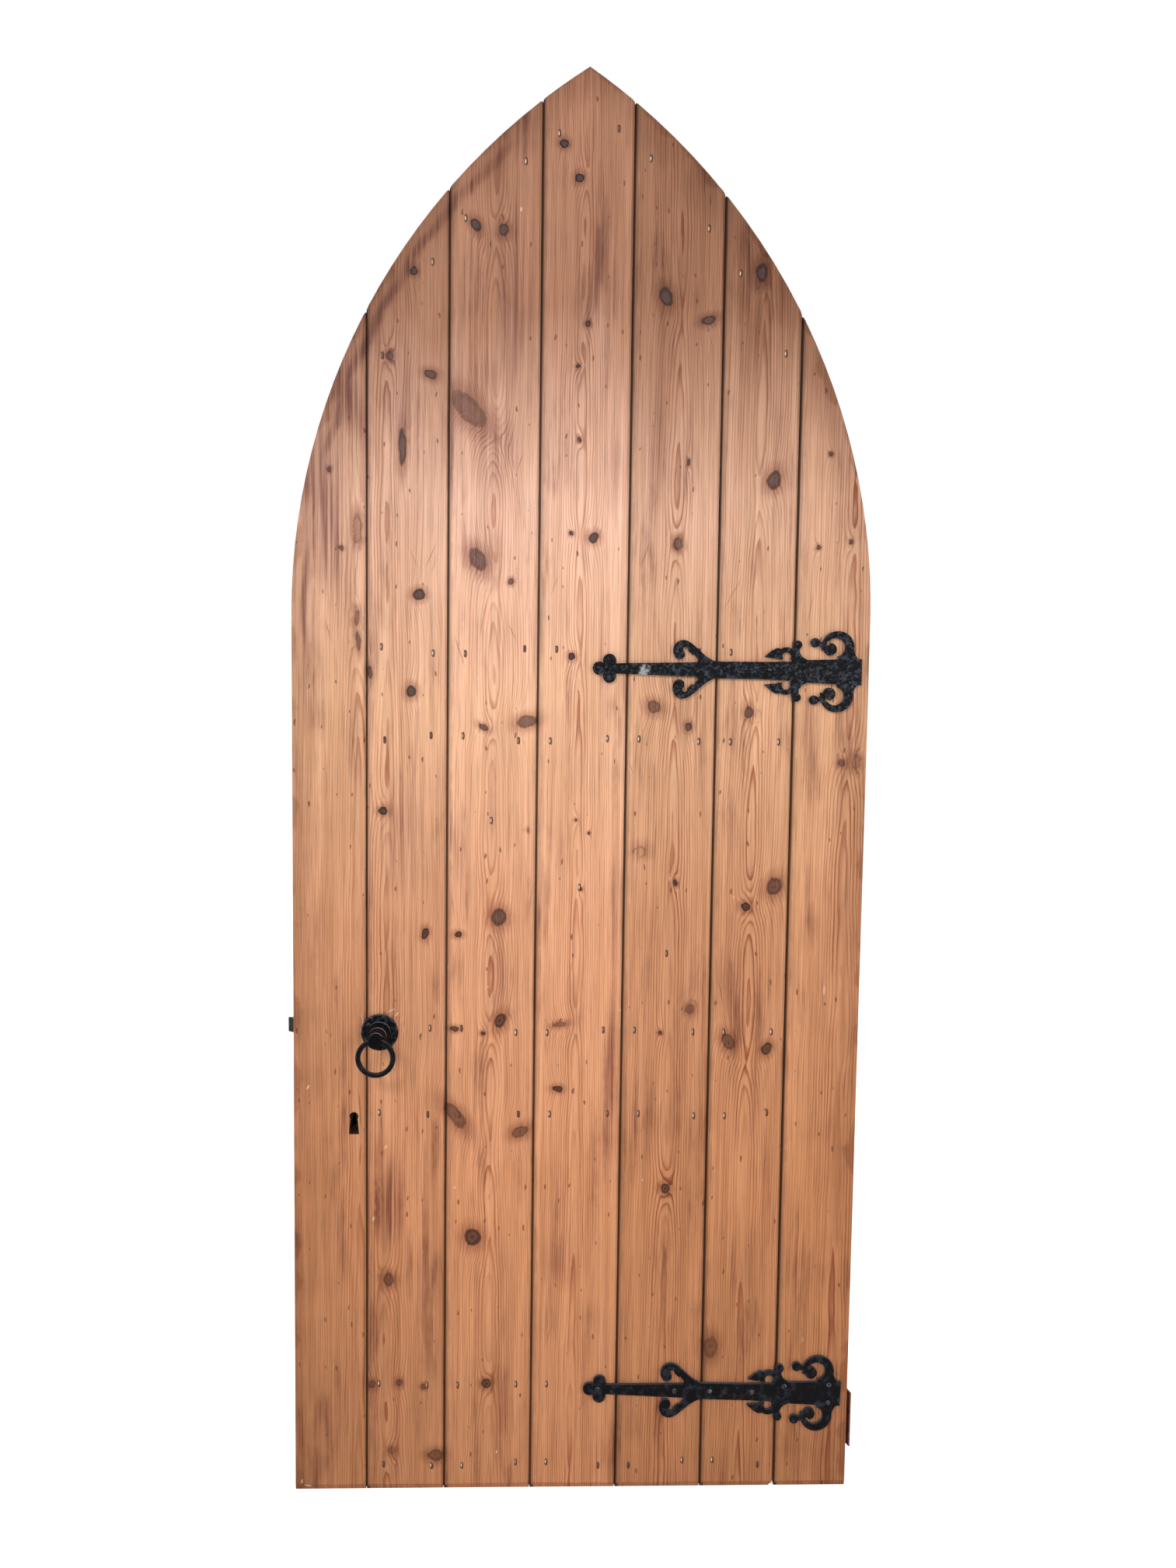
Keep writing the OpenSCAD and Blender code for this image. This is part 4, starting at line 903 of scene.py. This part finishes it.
def front_pine(node, nails):
    """Waxed pine of one front board, with the knots, stains and nail marks that lie on it."""
    low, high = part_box(node)
    left, right = low.x * MM - BOARD_SPARE, high.x * MM + BOARD_SPARE

    def here(marks, spread=0):
        return [mark for mark in marks if left - spread * mark[2] < mark[0] < right + spread * mark[2]]

    growth = dict(zip(GROWTH_SOCKETS, GROWTH[node]))
    light, warmth, bold = GROWTH[node][len(GROWTH_SOCKETS):]
    material, sheet, shader = finish("pine." + node)
    place = sheet.place()
    ripple = sheet.add("ShaderNodeTexNoise", {"Vector": place, "Scale": 70.0, "Detail": 2.0}).outputs["Color"]
    ripple = sheet.vector("MULTIPLY", sheet.vector("SUBTRACT", ripple, (0.5, 0.5, 0.5)), (0.006, 0.0, 0.008))
    rough_place = sheet.vector("ADD", place, ripple)
    shaken = sheet.vector("ADD", place, sheet.vector("MULTIPLY", ripple, (0.3, 0.0, 0.3)))

    knots = knots_on(sheet, rough_place, here(KNOTS, 1), FRONT)
    vary = sheet.math("MULTIPLY_ADD", sheet.noise(place, scale=110.0), 0.9, 0.56)
    knots["Heart"] = sheet.math("MULTIPLY", knots["Heart"], vary)
    lift = knots.pop("Lift")
    dark = sheet.math("MULTIPLY_ADD", sheet.noise(place, scale=9.0), 1.2, sheet.parts(place)["Z"])
    ripe = sheet.span(dark, 1.35, 1.75)

    fibre = sheet.group(pine_fibre(), {"Vector": place, "Seed": growth["Seed"]})
    late = sheet.group(pine_grain(), {"Vector": place, "Lift": lift, **growth})["Late"]
    base = {"Vector": place, "Cloud": fibre["Cloud"], "Light": light, "Warmth": warmth}
    base = sheet.group(pine_tone_and_sheen(), base)["Color"]
    rim = sheet.group(leaf_edge(), {"Vector": place, **arch()})
    dots = sheet.group(resin_specks(), {"Vector": rough_place, "Seed": growth["Seed"]})

    drawn = sheet.noise(sheet.vector("MULTIPLY", place, (26.0, 0.0, 5.0)), detail=4.0, rough=0.6)
    stain = spots_on(sheet, rough_place, here(STAINS, 1), 0.1)
    stain = sheet.math("MAXIMUM", stain, sheet.span(drawn, 0.5, 0.74, 0.0, 0.7))
    stain = sheet.math("MAXIMUM", stain, rim["Tide"])

    rings = here(RINGS)
    inner = [(x, z, wide * 0.8, tall * 0.8, turn, strength) for x, z, wide, tall, turn, strength in rings]
    outer = spots_on(sheet, rough_place, rings, 0.86)
    ring_line = sheet.math("SUBTRACT", outer, spots_on(sheet, rough_place, inner, 0.7), clamp=True)
    broken = sheet.span(sheet.noise(place, scale=150.0), 0.36, 0.56)
    scratch = spots_on(sheet, shaken, here(SCRATCHES), 0.3)
    scratch = sheet.math("MAXIMUM", scratch, sheet.math("MULTIPLY", ring_line, broken))
    scratch = sheet.math("MAXIMUM", scratch, sheet.math("MULTIPLY", rim["Crease"], 0.6))
    fleck = sheet.math("MAXIMUM", dots["Fleck"], spots_on(sheet, shaken, here(SCRAPES), 0.4))

    # Dirt and painted shade round the nail heads, lying right of and below each head.
    aside, up, wide, tall, strength = NAIL_DIRT_AND_SHADE
    near = [(x * MM, z * MM) for x, z in nails if left < x * MM < right]
    heads = [(x + aside, z + up, wide, tall, 0, strength) for x, z in near]
    nail = spots_on(sheet, place, heads, 0.62)
    sides = {"Vector": place, "Left": low.x, "Right": high.x, "Face": FRONT}
    if node == "lock_stile":
        sides["Left"] = -NO_JOINT
    if node == "hinge_stile":
        sides["Right"] = NO_JOINT
    joint = sheet.group(joint_grime_and_shade(), sides)["Joint"]
    if node == "lock_stile":
        # Painted shade down inside the keyhole.
        sunk = sheet.span(sheet.parts(place)["Y"], FRONT + 0.0004, FRONT + 0.003)
        hole = sheet.math("MULTIPLY", spots_on(sheet, place, KEYHOLE, 0.9), sunk)
        joint = sheet.math("MAXIMUM", joint, hole)

    feeds = {"Color": base, "Late": late, "Bold": bold, "Ripe": ripe, **knots}
    feeds.update({"Stain": stain, "Speck": dots["Speck"], "Fleck": fleck, "Scratch": scratch})
    feeds.update({"Edge": rim["Edge"], "Foot": rim["Foot"], "Joint": joint, "Nail": nail})
    lay_pine(sheet, shader, fibre, feeds, 0.35)
    shader.inputs["Coat Weight"].default_value = bpy.context.scene.door_timber.polish
    shader.inputs["Coat Roughness"].default_value = 0.32
    return material


def back_pine(node, turn, seed):
    """Drier pine of a ledge, brace or head rail, with the grain along the piece."""
    low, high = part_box(node)
    material, sheet, shader = finish("pine." + node)
    along = sheet.local(sheet.place(), Location=tuple((low + high) / 2), Rotation=lean(turn))
    reach = (high - low).length * 350
    marks = []
    for count, (part, wide, tall) in enumerate(BACK_KNOTS):
        shift = math.sin(seed * 1.7 + count * 2.3)
        side = 30 * math.cos(seed * 2.9 + count * 4.1)
        marks.append((side, reach * (part + 0.22 * shift), wide, tall, 40 * shift, 0.2 + 0.4 * abs(shift)))
    knots = knots_on(sheet, along, marks, 0.0)
    fibre = sheet.group(pine_fibre(), {"Vector": along, "Seed": seed})
    grain = {"Vector": along, "Heart": 0.012, "Depth": 0.02, "Ring": 0.0046, "Taper": 0.018}
    grain.update({"Waver": 0.018, "Sway": 0.03, "Seed": seed, "Lift": knots.pop("Lift")})
    late = sheet.group(pine_grain(), grain)["Late"]
    base = sheet.blend(fibre["Cloud"], DRY_TONE, bpy.context.scene.door_timber.back_tone)
    dust = sheet.span(fibre["Streak"], 0.4, 0.75, 0.0, 0.5)
    dots = sheet.group(resin_specks(), {"Vector": along, "Seed": seed})
    feeds = {"Color": base, "Late": late, "Bold": 0.9, **knots}
    feeds.update({"Stain": dust, "Speck": dots["Speck"], "Fleck": dots["Fleck"]})
    lay_pine(sheet, shader, fibre, feeds, 0.25)
    return material


def rub_patch(sheet, place, skin, patch):
    """Mask of a patch that is rubbed bright, ragged and kept out of the pits."""
    wobble = sheet.centred(sheet.noise(place, scale=160.0, detail=3.0))
    shift = sheet.vector("MULTIPLY", sheet.join(wobble, 0.0, wobble), (0.02, 0, 0.02))
    rubbed = spots_on(sheet, sheet.vector("ADD", place, shift), patch, 0.5)
    return sheet.math("MULTIPLY", rubbed, sheet.span(skin["Relief"], 0.1, 0.35))


def paint_rim_highlights(sheet, shade, strength):
    """Lightens the rims that face upwards and to the left: a painted highlight."""
    facing = sheet.facing()
    turned = sheet.span(sheet.math("ABSOLUTE", facing["Y"]), 0.5, 0.97, 1.0, 0.0)
    upward = sheet.span(sheet.math("SUBTRACT", facing["Z"], facing["X"]), -0.6, 0.7, 0.15, 1.0)
    rim_highlight = sheet.math("MULTIPLY", turned, upward)
    return sheet.paint(rim_highlight, strength, shade, bpy.context.scene.door_iron.worn)


def paint_ridge_highlights(sheet, place, shade):
    """Paints a highlight on every other turned ridge's upper side and painted shade in the grooves between.
    """
    turns = sheet.math("DIVIDE", sheet.math("SUBTRACT", RIDGE_ROOT, sheet.parts(place)["Y"]), RIDGE_PITCH)
    crest = sheet.math("ABSOLUTE", sheet.centred(sheet.math("FRACT", turns)))
    pair = sheet.math("FRACT", sheet.math("DIVIDE", turns, 2.0))
    bright = sheet.span(sheet.math("ABSOLUTE", sheet.math("SUBTRACT", pair, 0.25)), 0.05, 0.2, 0.95, 0.0)
    shade = sheet.paint(bright, sheet.span(sheet.facing()["Z"], -0.2, 0.5), shade, RIDGE_HIGHLIGHT_TONE)
    return sheet.blend(sheet.span(crest, 0.34, 0.46, 0.0, 0.9), shade, GROOVE_SHADE_TONE)


def black_iron(
    name, lumps, pitting, wear, seed, relief,
    shine=0.05, brown=0.1, rim=0.0, dull=0.2, patch=None, ridged=False,
):
    """Blackened iron; painted highlights may go on its upper rims and turned ridges, and one patch may be
    rubbed.
    """
    material, sheet, shader = finish(name)
    place = sheet.place()
    feeds = {"Vector": place, "Lumps": lumps, "Pitting": pitting, "Wear": wear, "Seed": seed, "Dull": dull}
    skin = sheet.group(cast_skin(), feeds)
    shade, metal = skin["Color"], sheet.math("MULTIPLY", skin["High"], 0.3)
    if patch:
        rubbed = rub_patch(sheet, place, skin, patch)
        shade = sheet.blend(rubbed, shade, bpy.context.scene.door_iron.bare)
        metal = sheet.math("MAXIMUM", metal, rubbed)
    # Painted highlights on the rims that face up and to the left.
    if rim:
        shade = paint_rim_highlights(sheet, shade, rim)
    # Painted highlights on the ridges and painted shade in the grooves of the boss.
    if ridged:
        shade = paint_ridge_highlights(sheet, place, shade)
    rust = sheet.group(rust_bloom(), {"Vector": place, "From": 0.66})
    shade = sheet.paint(rust["Rust"], brown, shade, rust["Color"])
    sheet.feed_all(shader, {"Base Color": shade, "Metallic": metal, "Roughness": skin["Gloss"]})
    shader.inputs["Specular IOR Level"].default_value = shine
    bump(sheet, shader, skin["Relief"], relief, 1.0)
    return material


def rusty_iron(name, start):
    """Butt iron under brown rust."""
    material, sheet, shader = finish(name)
    place = sheet.place()
    feeds = {"Vector": place, "Lumps": 150.0, "Pitting": 1.0, "Wear": 0.6, "Seed": 4.0, "Dull": 0.2}
    skin = sheet.group(cast_skin(), feeds)
    rust = sheet.group(rust_bloom(), {"Vector": place, "From": start})
    shade = sheet.blend(rust["Rust"], skin["Color"], rust["Color"])
    gloss = sheet.math("MULTIPLY_ADD", rust["Rust"], 0.35, skin["Gloss"])
    sheet.feed_all(shader, {"Base Color": shade, "Roughness": gloss})
    crust = sheet.math("MULTIPLY", rust["Grit"], rust["Rust"])
    height = sheet.math("MULTIPLY_ADD", crust, 0.5, skin["Relief"])
    bump(sheet, shader, height, 0.0004, 0.7)
    return material


def worn_steel(name, dull, bright):
    """Worn steel with drawn lines between two tones, and a little rust."""
    material, sheet, shader = finish(name)
    place = sheet.place()
    drawn = sheet.noise(sheet.vector("MULTIPLY", place, (60.0, 1500.0, 1500.0)), detail=3.0)
    rust = sheet.group(rust_bloom(), {"Vector": place, "From": 0.62})
    shade = sheet.blend(drawn, dull, bright)
    shade = sheet.paint(rust["Rust"], 0.7, shade, rust["Color"])
    metal = sheet.math("SUBTRACT", 1.0, sheet.math("MULTIPLY", rust["Rust"], 0.8))
    gloss = sheet.math("MULTIPLY_ADD", drawn, 0.3, 0.25)
    sheet.feed_all(shader, {"Base Color": shade, "Metallic": metal, "Roughness": gloss})
    bump(sheet, shader, drawn, 0.0001, 0.4)
    return material


def nail_iron():
    """Nail heads under old putty, darker and rusty round the rim, with painted shade to the right and a
    painted glint.
    """
    material, sheet, shader = finish("nail.putty")
    place = sheet.place()
    across = sheet.add("ShaderNodeAttribute", attribute_name="across").outputs["Fac"]
    along = sheet.add("ShaderNodeAttribute", attribute_name="along").outputs["Fac"]
    each = sheet.add("ShaderNodeNewGeometry").outputs["Random Per Island"]
    grain = sheet.noise(place, scale=900.0, detail=3.0)
    rust = sheet.group(rust_bloom(), {"Vector": place, "From": 0.4})
    dark = sheet.paint(rust["Rust"], 0.4, NAIL_DARK_AND_SHADE_TONE, rust["Color"])
    pale = sheet.blend(grain, OLD_PUTTY_TONE, bpy.context.scene.door_iron.putty)
    bow = sheet.math("MULTIPLY", along, along)
    # The pale putty is shifted to the left, so the dark rim is widest on the right: painted shade of the sunk
    # head over the rusty iron.
    side = sheet.math("ABSOLUTE", sheet.math("ADD", across, 0.22))
    lens = sheet.math("ADD", sheet.math("ADD", side, bow), sheet.math("MULTIPLY_ADD", grain, 0.5, -0.25))
    filled, glint_share = sheet.span(each, 0.15, 0.4, 0.1, 1.0), sheet.span(each, 0.5, 0.6)
    shade = sheet.paint(sheet.span(lens, 0.55, 0.8, 1.0, 0.0), filled, dark, pale)
    # Painted glint on some of the heads.
    shade = sheet.paint(sheet.span(lens, 0.1, 0.42, 1.0, 0.0), glint_share, shade, PAINTED_GLINT_TONE)
    gloss = sheet.math("MULTIPLY_ADD", grain, 0.2, 0.6)
    sheet.feed_all(shader, {"Base Color": shade, "Roughness": gloss})
    bump(sheet, shader, grain, 0.0004, 0.6)
    return material


def dress(node, material, rounding=0.0, steps=2, work=None):
    """A finished copy of a CAD node: welded, worked, rounded and given its material."""
    source = frame["nodes"][node]
    shape = welded(source.data)
    bmesh.ops.dissolve_limit(shape, angle_limit=FLAT, verts=shape.verts[:], edges=shape.edges[:])
    if work:
        work(shape)
    mesh = bpy.data.meshes.new(node + ".dressed")
    shape.to_mesh(mesh)
    shape.free()
    mesh.shade_smooth()
    mesh.set_sharp_from_angle(angle=CREASE)
    mesh.materials.append(material)
    piece = bpy.data.objects.new(node + ".dressed", mesh)
    bpy.context.scene.collection.objects.link(piece)
    if rounding:
        bevel = piece.modifiers.new("rounding", "BEVEL")
        bevel.width = rounding
        bevel.segments = steps
        bevel.limit_method = "ANGLE"
        bevel.angle_limit = CREASE
    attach(piece, source.parent.name.split(":", 1)[1])
    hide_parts(node)
    return piece


def cast_case(name, lumps, seed):
    """Finishes the plate, case and screws of the rim latch or the rim lock."""
    cast = black_iron(
        "iron." + name, lumps=lumps, pitting=0.5, wear=0.4, seed=seed, relief=0.0010, shine=0.12, rim=0.3
    )
    for part in ("plate", "case", "screws"):
        dress(f"{name}_{part}", cast, rounding=0.0006)


class DOOR_OT_boards(bpy.types.Operator):
    """Dress the two stiles and five boards of the front in waxed pine"""

    bl_idname = "door.boards"
    bl_label = "Boards and Stiles"

    def execute(self, context):
        nails = nail_places()
        for node in BOARDS:
            dress(node, front_pine(node, nails), context.scene.door_timber.arris)
        return {"FINISHED"}


class DOOR_OT_back_timber(bpy.types.Operator):
    """Dress the ledges, head rails and braces of the back in drier pine"""

    bl_idname = "door.back_timber"
    bl_label = "Ledges, Head Rails and Braces"

    def execute(self, context):
        turns = dict.fromkeys(("upper_ledge", "lock_ledge", "bottom_ledge"), 90)
        turns.update(head_rail_left=30, head_rail_right=-30)
        for node in ("upper_brace", "lower_brace"):
            low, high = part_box(node)
            turns[node] = -math.degrees(math.atan2(high.x - low.x, high.z - low.z))
        for count, (node, turn) in enumerate(sorted(turns.items())):
            dress(node, back_pine(node, turn, 5.3 * count), context.scene.door_timber.arris * 2)
        return {"FINISHED"}


class DOOR_OT_nails(bpy.types.Operator):
    """Fill the sunk nail heads with putty"""

    bl_idname = "door.nails"
    bl_label = "Nails"

    def execute(self, context):
        def fill(shape):
            heads = [face for face in shape.faces if face.normal.y < -0.9]
            if not heads:
                raise RuntimeError("no nail head was found")
            across = shape.verts.layers.float.new("across")
            along = shape.verts.layers.float.new("along")
            for face in heads:
                middle = face.calc_center_median()
                reach = [vert.co - middle for vert in face.verts]
                wide = max(abs(arm.x) for arm in reach)
                tall = max(abs(arm.z) for arm in reach)
                for vert, arm in zip(face.verts, reach):
                    vert[across] = arm.x / wide
                    vert[along] = arm.z / tall

        material = nail_iron()
        for node in NAILS:
            dress(node, material, work=fill)
        return {"FINISHED"}


class DOOR_OT_hinge_fronts(bpy.types.Operator):
    """Finish the two scrolled hinge fronts and their screws as cast iron"""

    bl_idname = "door.hinge_fronts"
    bl_label = "Hinge Fronts"

    def execute(self, context):
        edge = context.scene.door_iron.cast_edge
        upper = black_iron(
            "iron.upper", lumps=230.0, pitting=0.7, wear=0.4, seed=0.0, relief=0.0018,
            shine=0.1, brown=0.15, rim=0.35, patch=RUBBED,
        )
        dress("upper_hinge_front", upper, rounding=edge, steps=3)
        lower = black_iron("iron.lower", lumps=90.0, pitting=0.4, wear=0.16, seed=2.0, relief=0.0018, rim=0.6)
        dress("lower_hinge_front", lower, rounding=edge, steps=3)
        heads = black_iron("iron.screws", lumps=190.0, pitting=0.6, wear=0.7, seed=5.0, relief=0.0012)
        dress("upper_front_screws", heads, rounding=0.0003)
        heads = black_iron(
            "iron.heads", lumps=260.0, pitting=0.3, wear=1.0, seed=6.0, relief=0.0006,
            shine=0.2, brown=0.5, rim=0.5,
        )
        dress("lower_front_screws", heads, rounding=0.0003)
        return {"FINISHED"}


class DOOR_OT_butts(bpy.types.Operator):
    """Rust the butt hinges and their screws"""

    bl_idname = "door.butts"
    bl_label = "Butt Hinges"

    def execute(self, context):
        brown = rusty_iron("iron.rusty", start=0.42)
        pins = rusty_iron("iron.pins", start=0.55)
        for place in ("upper", "lower"):
            for node in ("door_leaf", "jamb_leaf"):
                dress(f"{place}_{node}", brown, rounding=0.0003)
            dress(f"{place}_hinge_pin", pins, rounding=0.0003)
            dress(f"{place}_leaf_screws", pins, rounding=0.0002)
        return {"FINISHED"}


class DOOR_OT_handle(bpy.types.Operator):
    """Finish the ring handle, its rose and boss, the spindle and the inner knob"""

    bl_idname = "door.handle"
    bl_label = "Ring Handle"

    def execute(self, context):
        cast = black_iron("iron.handle", lumps=150.0, pitting=0.5, wear=0.4, seed=8.0, relief=0.0018, rim=0.5)
        boss = black_iron(
            "iron.boss", lumps=120.0, pitting=0.3, wear=0.1, seed=8.5, relief=0.0005, dull=0.1, ridged=True
        )
        smooth = black_iron(
            "iron.ring", lumps=70.0, pitting=0.1, wear=0.05, seed=9.0, relief=0.0003, dull=0.06, rim=0.35
        )
        for node in ("handle_rose", "rose_screws", "inner_knob"):
            dress(node, cast, rounding=0.0004)
        dress("handle_boss", boss, rounding=0.0004)
        dress("ring_handle", smooth)
        iron = context.scene.door_iron
        steel = worn_steel("steel.spindle", iron.dull_steel, iron.steel)
        for node in ("spindle", "knob_pin"):
            dress(node, steel, rounding=0.0002)
        return {"FINISHED"}


class DOOR_OT_latch(bpy.types.Operator):
    """Finish the rim latch on the back"""

    bl_idname = "door.latch"
    bl_label = "Rim Latch"

    def execute(self, context):
        cast_case("latch", lumps=90.0, seed=12.0)
        iron = context.scene.door_iron
        steel = worn_steel("steel.latch", iron.dull_steel, iron.steel)
        dress("latch_follower", steel, rounding=0.0003)
        dress("latch_bolt", worn_steel("steel.bolt", *BOLT_TONES), rounding=0.0003)
        low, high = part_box("latch_spring")
        length = high.x - low.x

        def clear_the_bolt(shape):
            for vert in shape.verts:
                vert.co.x = high.x + (vert.co.x - high.x) * (1 - SPRING_GAP / length)

        spring = dress("latch_spring", steel, work=clear_the_bolt)
        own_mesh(spring)
        return {"FINISHED"}


class DOOR_OT_lock(bpy.types.Operator):
    """Finish the rim lock on the back"""

    bl_idname = "door.lock"
    bl_label = "Rim Lock"

    def execute(self, context):
        cast_case("lock", lumps=80.0, seed=15.0)
        iron = context.scene.door_iron
        steel = worn_steel("steel.lock", iron.dull_steel, iron.steel)
        dress("dead_bolt", steel, rounding=0.0003)
        dress("bolt_spring", steel)
        return {"FINISHED"}


class DOOR_OT_stage(bpy.types.Operator):
    """Lay the pale floor and set the studio light and the camera"""

    bl_idname = "door.stage"
    bl_label = "Stage"

    def execute(self, context):
        scene = context.scene
        self.lay_floor(scene)
        self.light(scene)
        self.aim(scene)
        scene.view_settings.view_transform = "Standard"
        return {"FINISHED"}

    def seen_white(self, sheet):
        path = sheet.add("ShaderNodeLightPath").outputs
        mirror = sheet.math("MAXIMUM", path["Is Glossy Ray"], path["Is Transmission Ray"])
        return sheet.math("MAXIMUM", path["Is Camera Ray"], mirror)

    def lay_floor(self, scene):
        shape = bmesh.new()
        bmesh.ops.create_grid(shape, x_segments=8, y_segments=8, size=FLOOR_REACH)
        mesh = bpy.data.meshes.new("floor")
        shape.to_mesh(mesh)
        shape.free()
        floor = bpy.data.objects.new("floor", mesh)
        floor.location.z = CAD_BOX[0][2]
        scene.collection.objects.link(floor)
        material = bpy.data.materials.new("floor.pale")
        material.use_nodes = True
        sheet = Sheet(material.node_tree)
        sheet.tree.nodes.clear()
        matt = sheet.add("ShaderNodeBsdfDiffuse", {"Color": scene.door_stage.floor})
        glow = sheet.add("ShaderNodeEmission", {"Color": WHITE, "Strength": FLOOR_GLOW})
        both = sheet.add("ShaderNodeAddShader", {0: matt.outputs[0], 1: glow.outputs[0]})
        feeds = {0: self.seen_white(sheet), 1: matt.outputs[0], 2: both.outputs[0]}
        mix = sheet.add("ShaderNodeMixShader", feeds)
        sheet.add("ShaderNodeOutputMaterial", {0: mix.outputs[0]})
        mesh.materials.append(material)

    def light(self, scene):
        stage = scene.door_stage
        world = bpy.data.worlds.new("studio")
        world.use_nodes = True
        sheet = Sheet(world.node_tree)
        sheet.tree.nodes.clear()
        even = sheet.add("ShaderNodeBackground", {"Color": WHITE, "Strength": stage.sky})
        white = sheet.add("ShaderNodeBackground", {"Color": WHITE, "Strength": 1.0})
        feeds = {0: self.seen_white(sheet), 1: even.outputs[0], 2: white.outputs[0]}
        mix = sheet.add("ShaderNodeMixShader", feeds)
        sheet.add("ShaderNodeOutputWorld", {0: mix.outputs[0]})
        scene.world = world
        lamps = (
            ("key", stage.key, (-1.5, -3.2, 2.9), 1.2),
            ("fill", stage.fill, (2.6, -2.6, 1.6), 2.0),
            ("rear", stage.rear, (0.8, 3.4, 2.6), 2.0),
        )
        for name, power, place, size in lamps:
            data = bpy.data.lights.new(name, "AREA")
            data.energy = power
            data.shape = "DISK"
            data.size = size
            lamp = bpy.data.objects.new(name, data)
            lamp.location = place
            aim = LAMP_TARGET - Vector(place)
            lamp.rotation_euler = aim.to_track_quat("-Z", "Y").to_euler()
            scene.collection.objects.link(lamp)

    def aim(self, scene):
        data = bpy.data.cameras.new("camera")
        data.sensor_width = SENSOR
        data.lens = SENSOR * FOCAL_PIXELS / PICTURE_PIXELS
        data.clip_end = 100.0
        camera = bpy.data.objects.new("camera", data)
        turn = Matrix((CAMERA_RIGHT, CAMERA_UP, CAMERA_BACK)).transposed().to_4x4()
        camera.matrix_world = Matrix.Translation(CAMERA_PLACE) @ turn
        scene.collection.objects.link(camera)
        scene.camera = camera


OPERATORS = (
    DOOR_OT_boards,
    DOOR_OT_back_timber,
    DOOR_OT_nails,
    DOOR_OT_hinge_fronts,
    DOOR_OT_butts,
    DOOR_OT_handle,
    DOOR_OT_latch,
    DOOR_OT_lock,
    DOOR_OT_stage,
)


class DOOR_PT_pieces(bpy.types.Panel):
    """Pieces of the door and their finishes"""

    bl_idname = "DOOR_PT_pieces"
    bl_label = "Arched Wooden Door"
    bl_space_type = "VIEW_3D"
    bl_region_type = "UI"
    bl_category = "Door"

    def draw(self, context):
        for operator in OPERATORS:
            self.layout.operator(operator.bl_idname)
        for group in ("door_timber", "door_iron", "door_stage"):
            settings = getattr(context.scene, group)
            box = self.layout.box()
            for name in settings.__annotations__:
                box.prop(settings, name)


CLASSES = (DoorTimber, DoorIron, DoorStage, *OPERATORS, DOOR_PT_pieces)


def register():
    for item in CLASSES:
        bpy.utils.register_class(item)
    bpy.types.Scene.door_timber = bpy.props.PointerProperty(type=DoorTimber)
    bpy.types.Scene.door_iron = bpy.props.PointerProperty(type=DoorIron)
    bpy.types.Scene.door_stage = bpy.props.PointerProperty(type=DoorStage)


def unregister():
    del bpy.types.Scene.door_stage
    del bpy.types.Scene.door_iron
    del bpy.types.Scene.door_timber
    for item in reversed(CLASSES):
        bpy.utils.unregister_class(item)


def main():
    """Registers the classes and makes the door piece by piece."""
    register()
    bpy.ops.door.stage()
    bpy.ops.door.boards()
    bpy.ops.door.back_timber()
    bpy.ops.door.nails()
    bpy.ops.door.hinge_fronts()
    bpy.ops.door.butts()
    bpy.ops.door.handle()
    bpy.ops.door.latch()
    bpy.ops.door.lock()


if __name__ == "__main__":
    main()
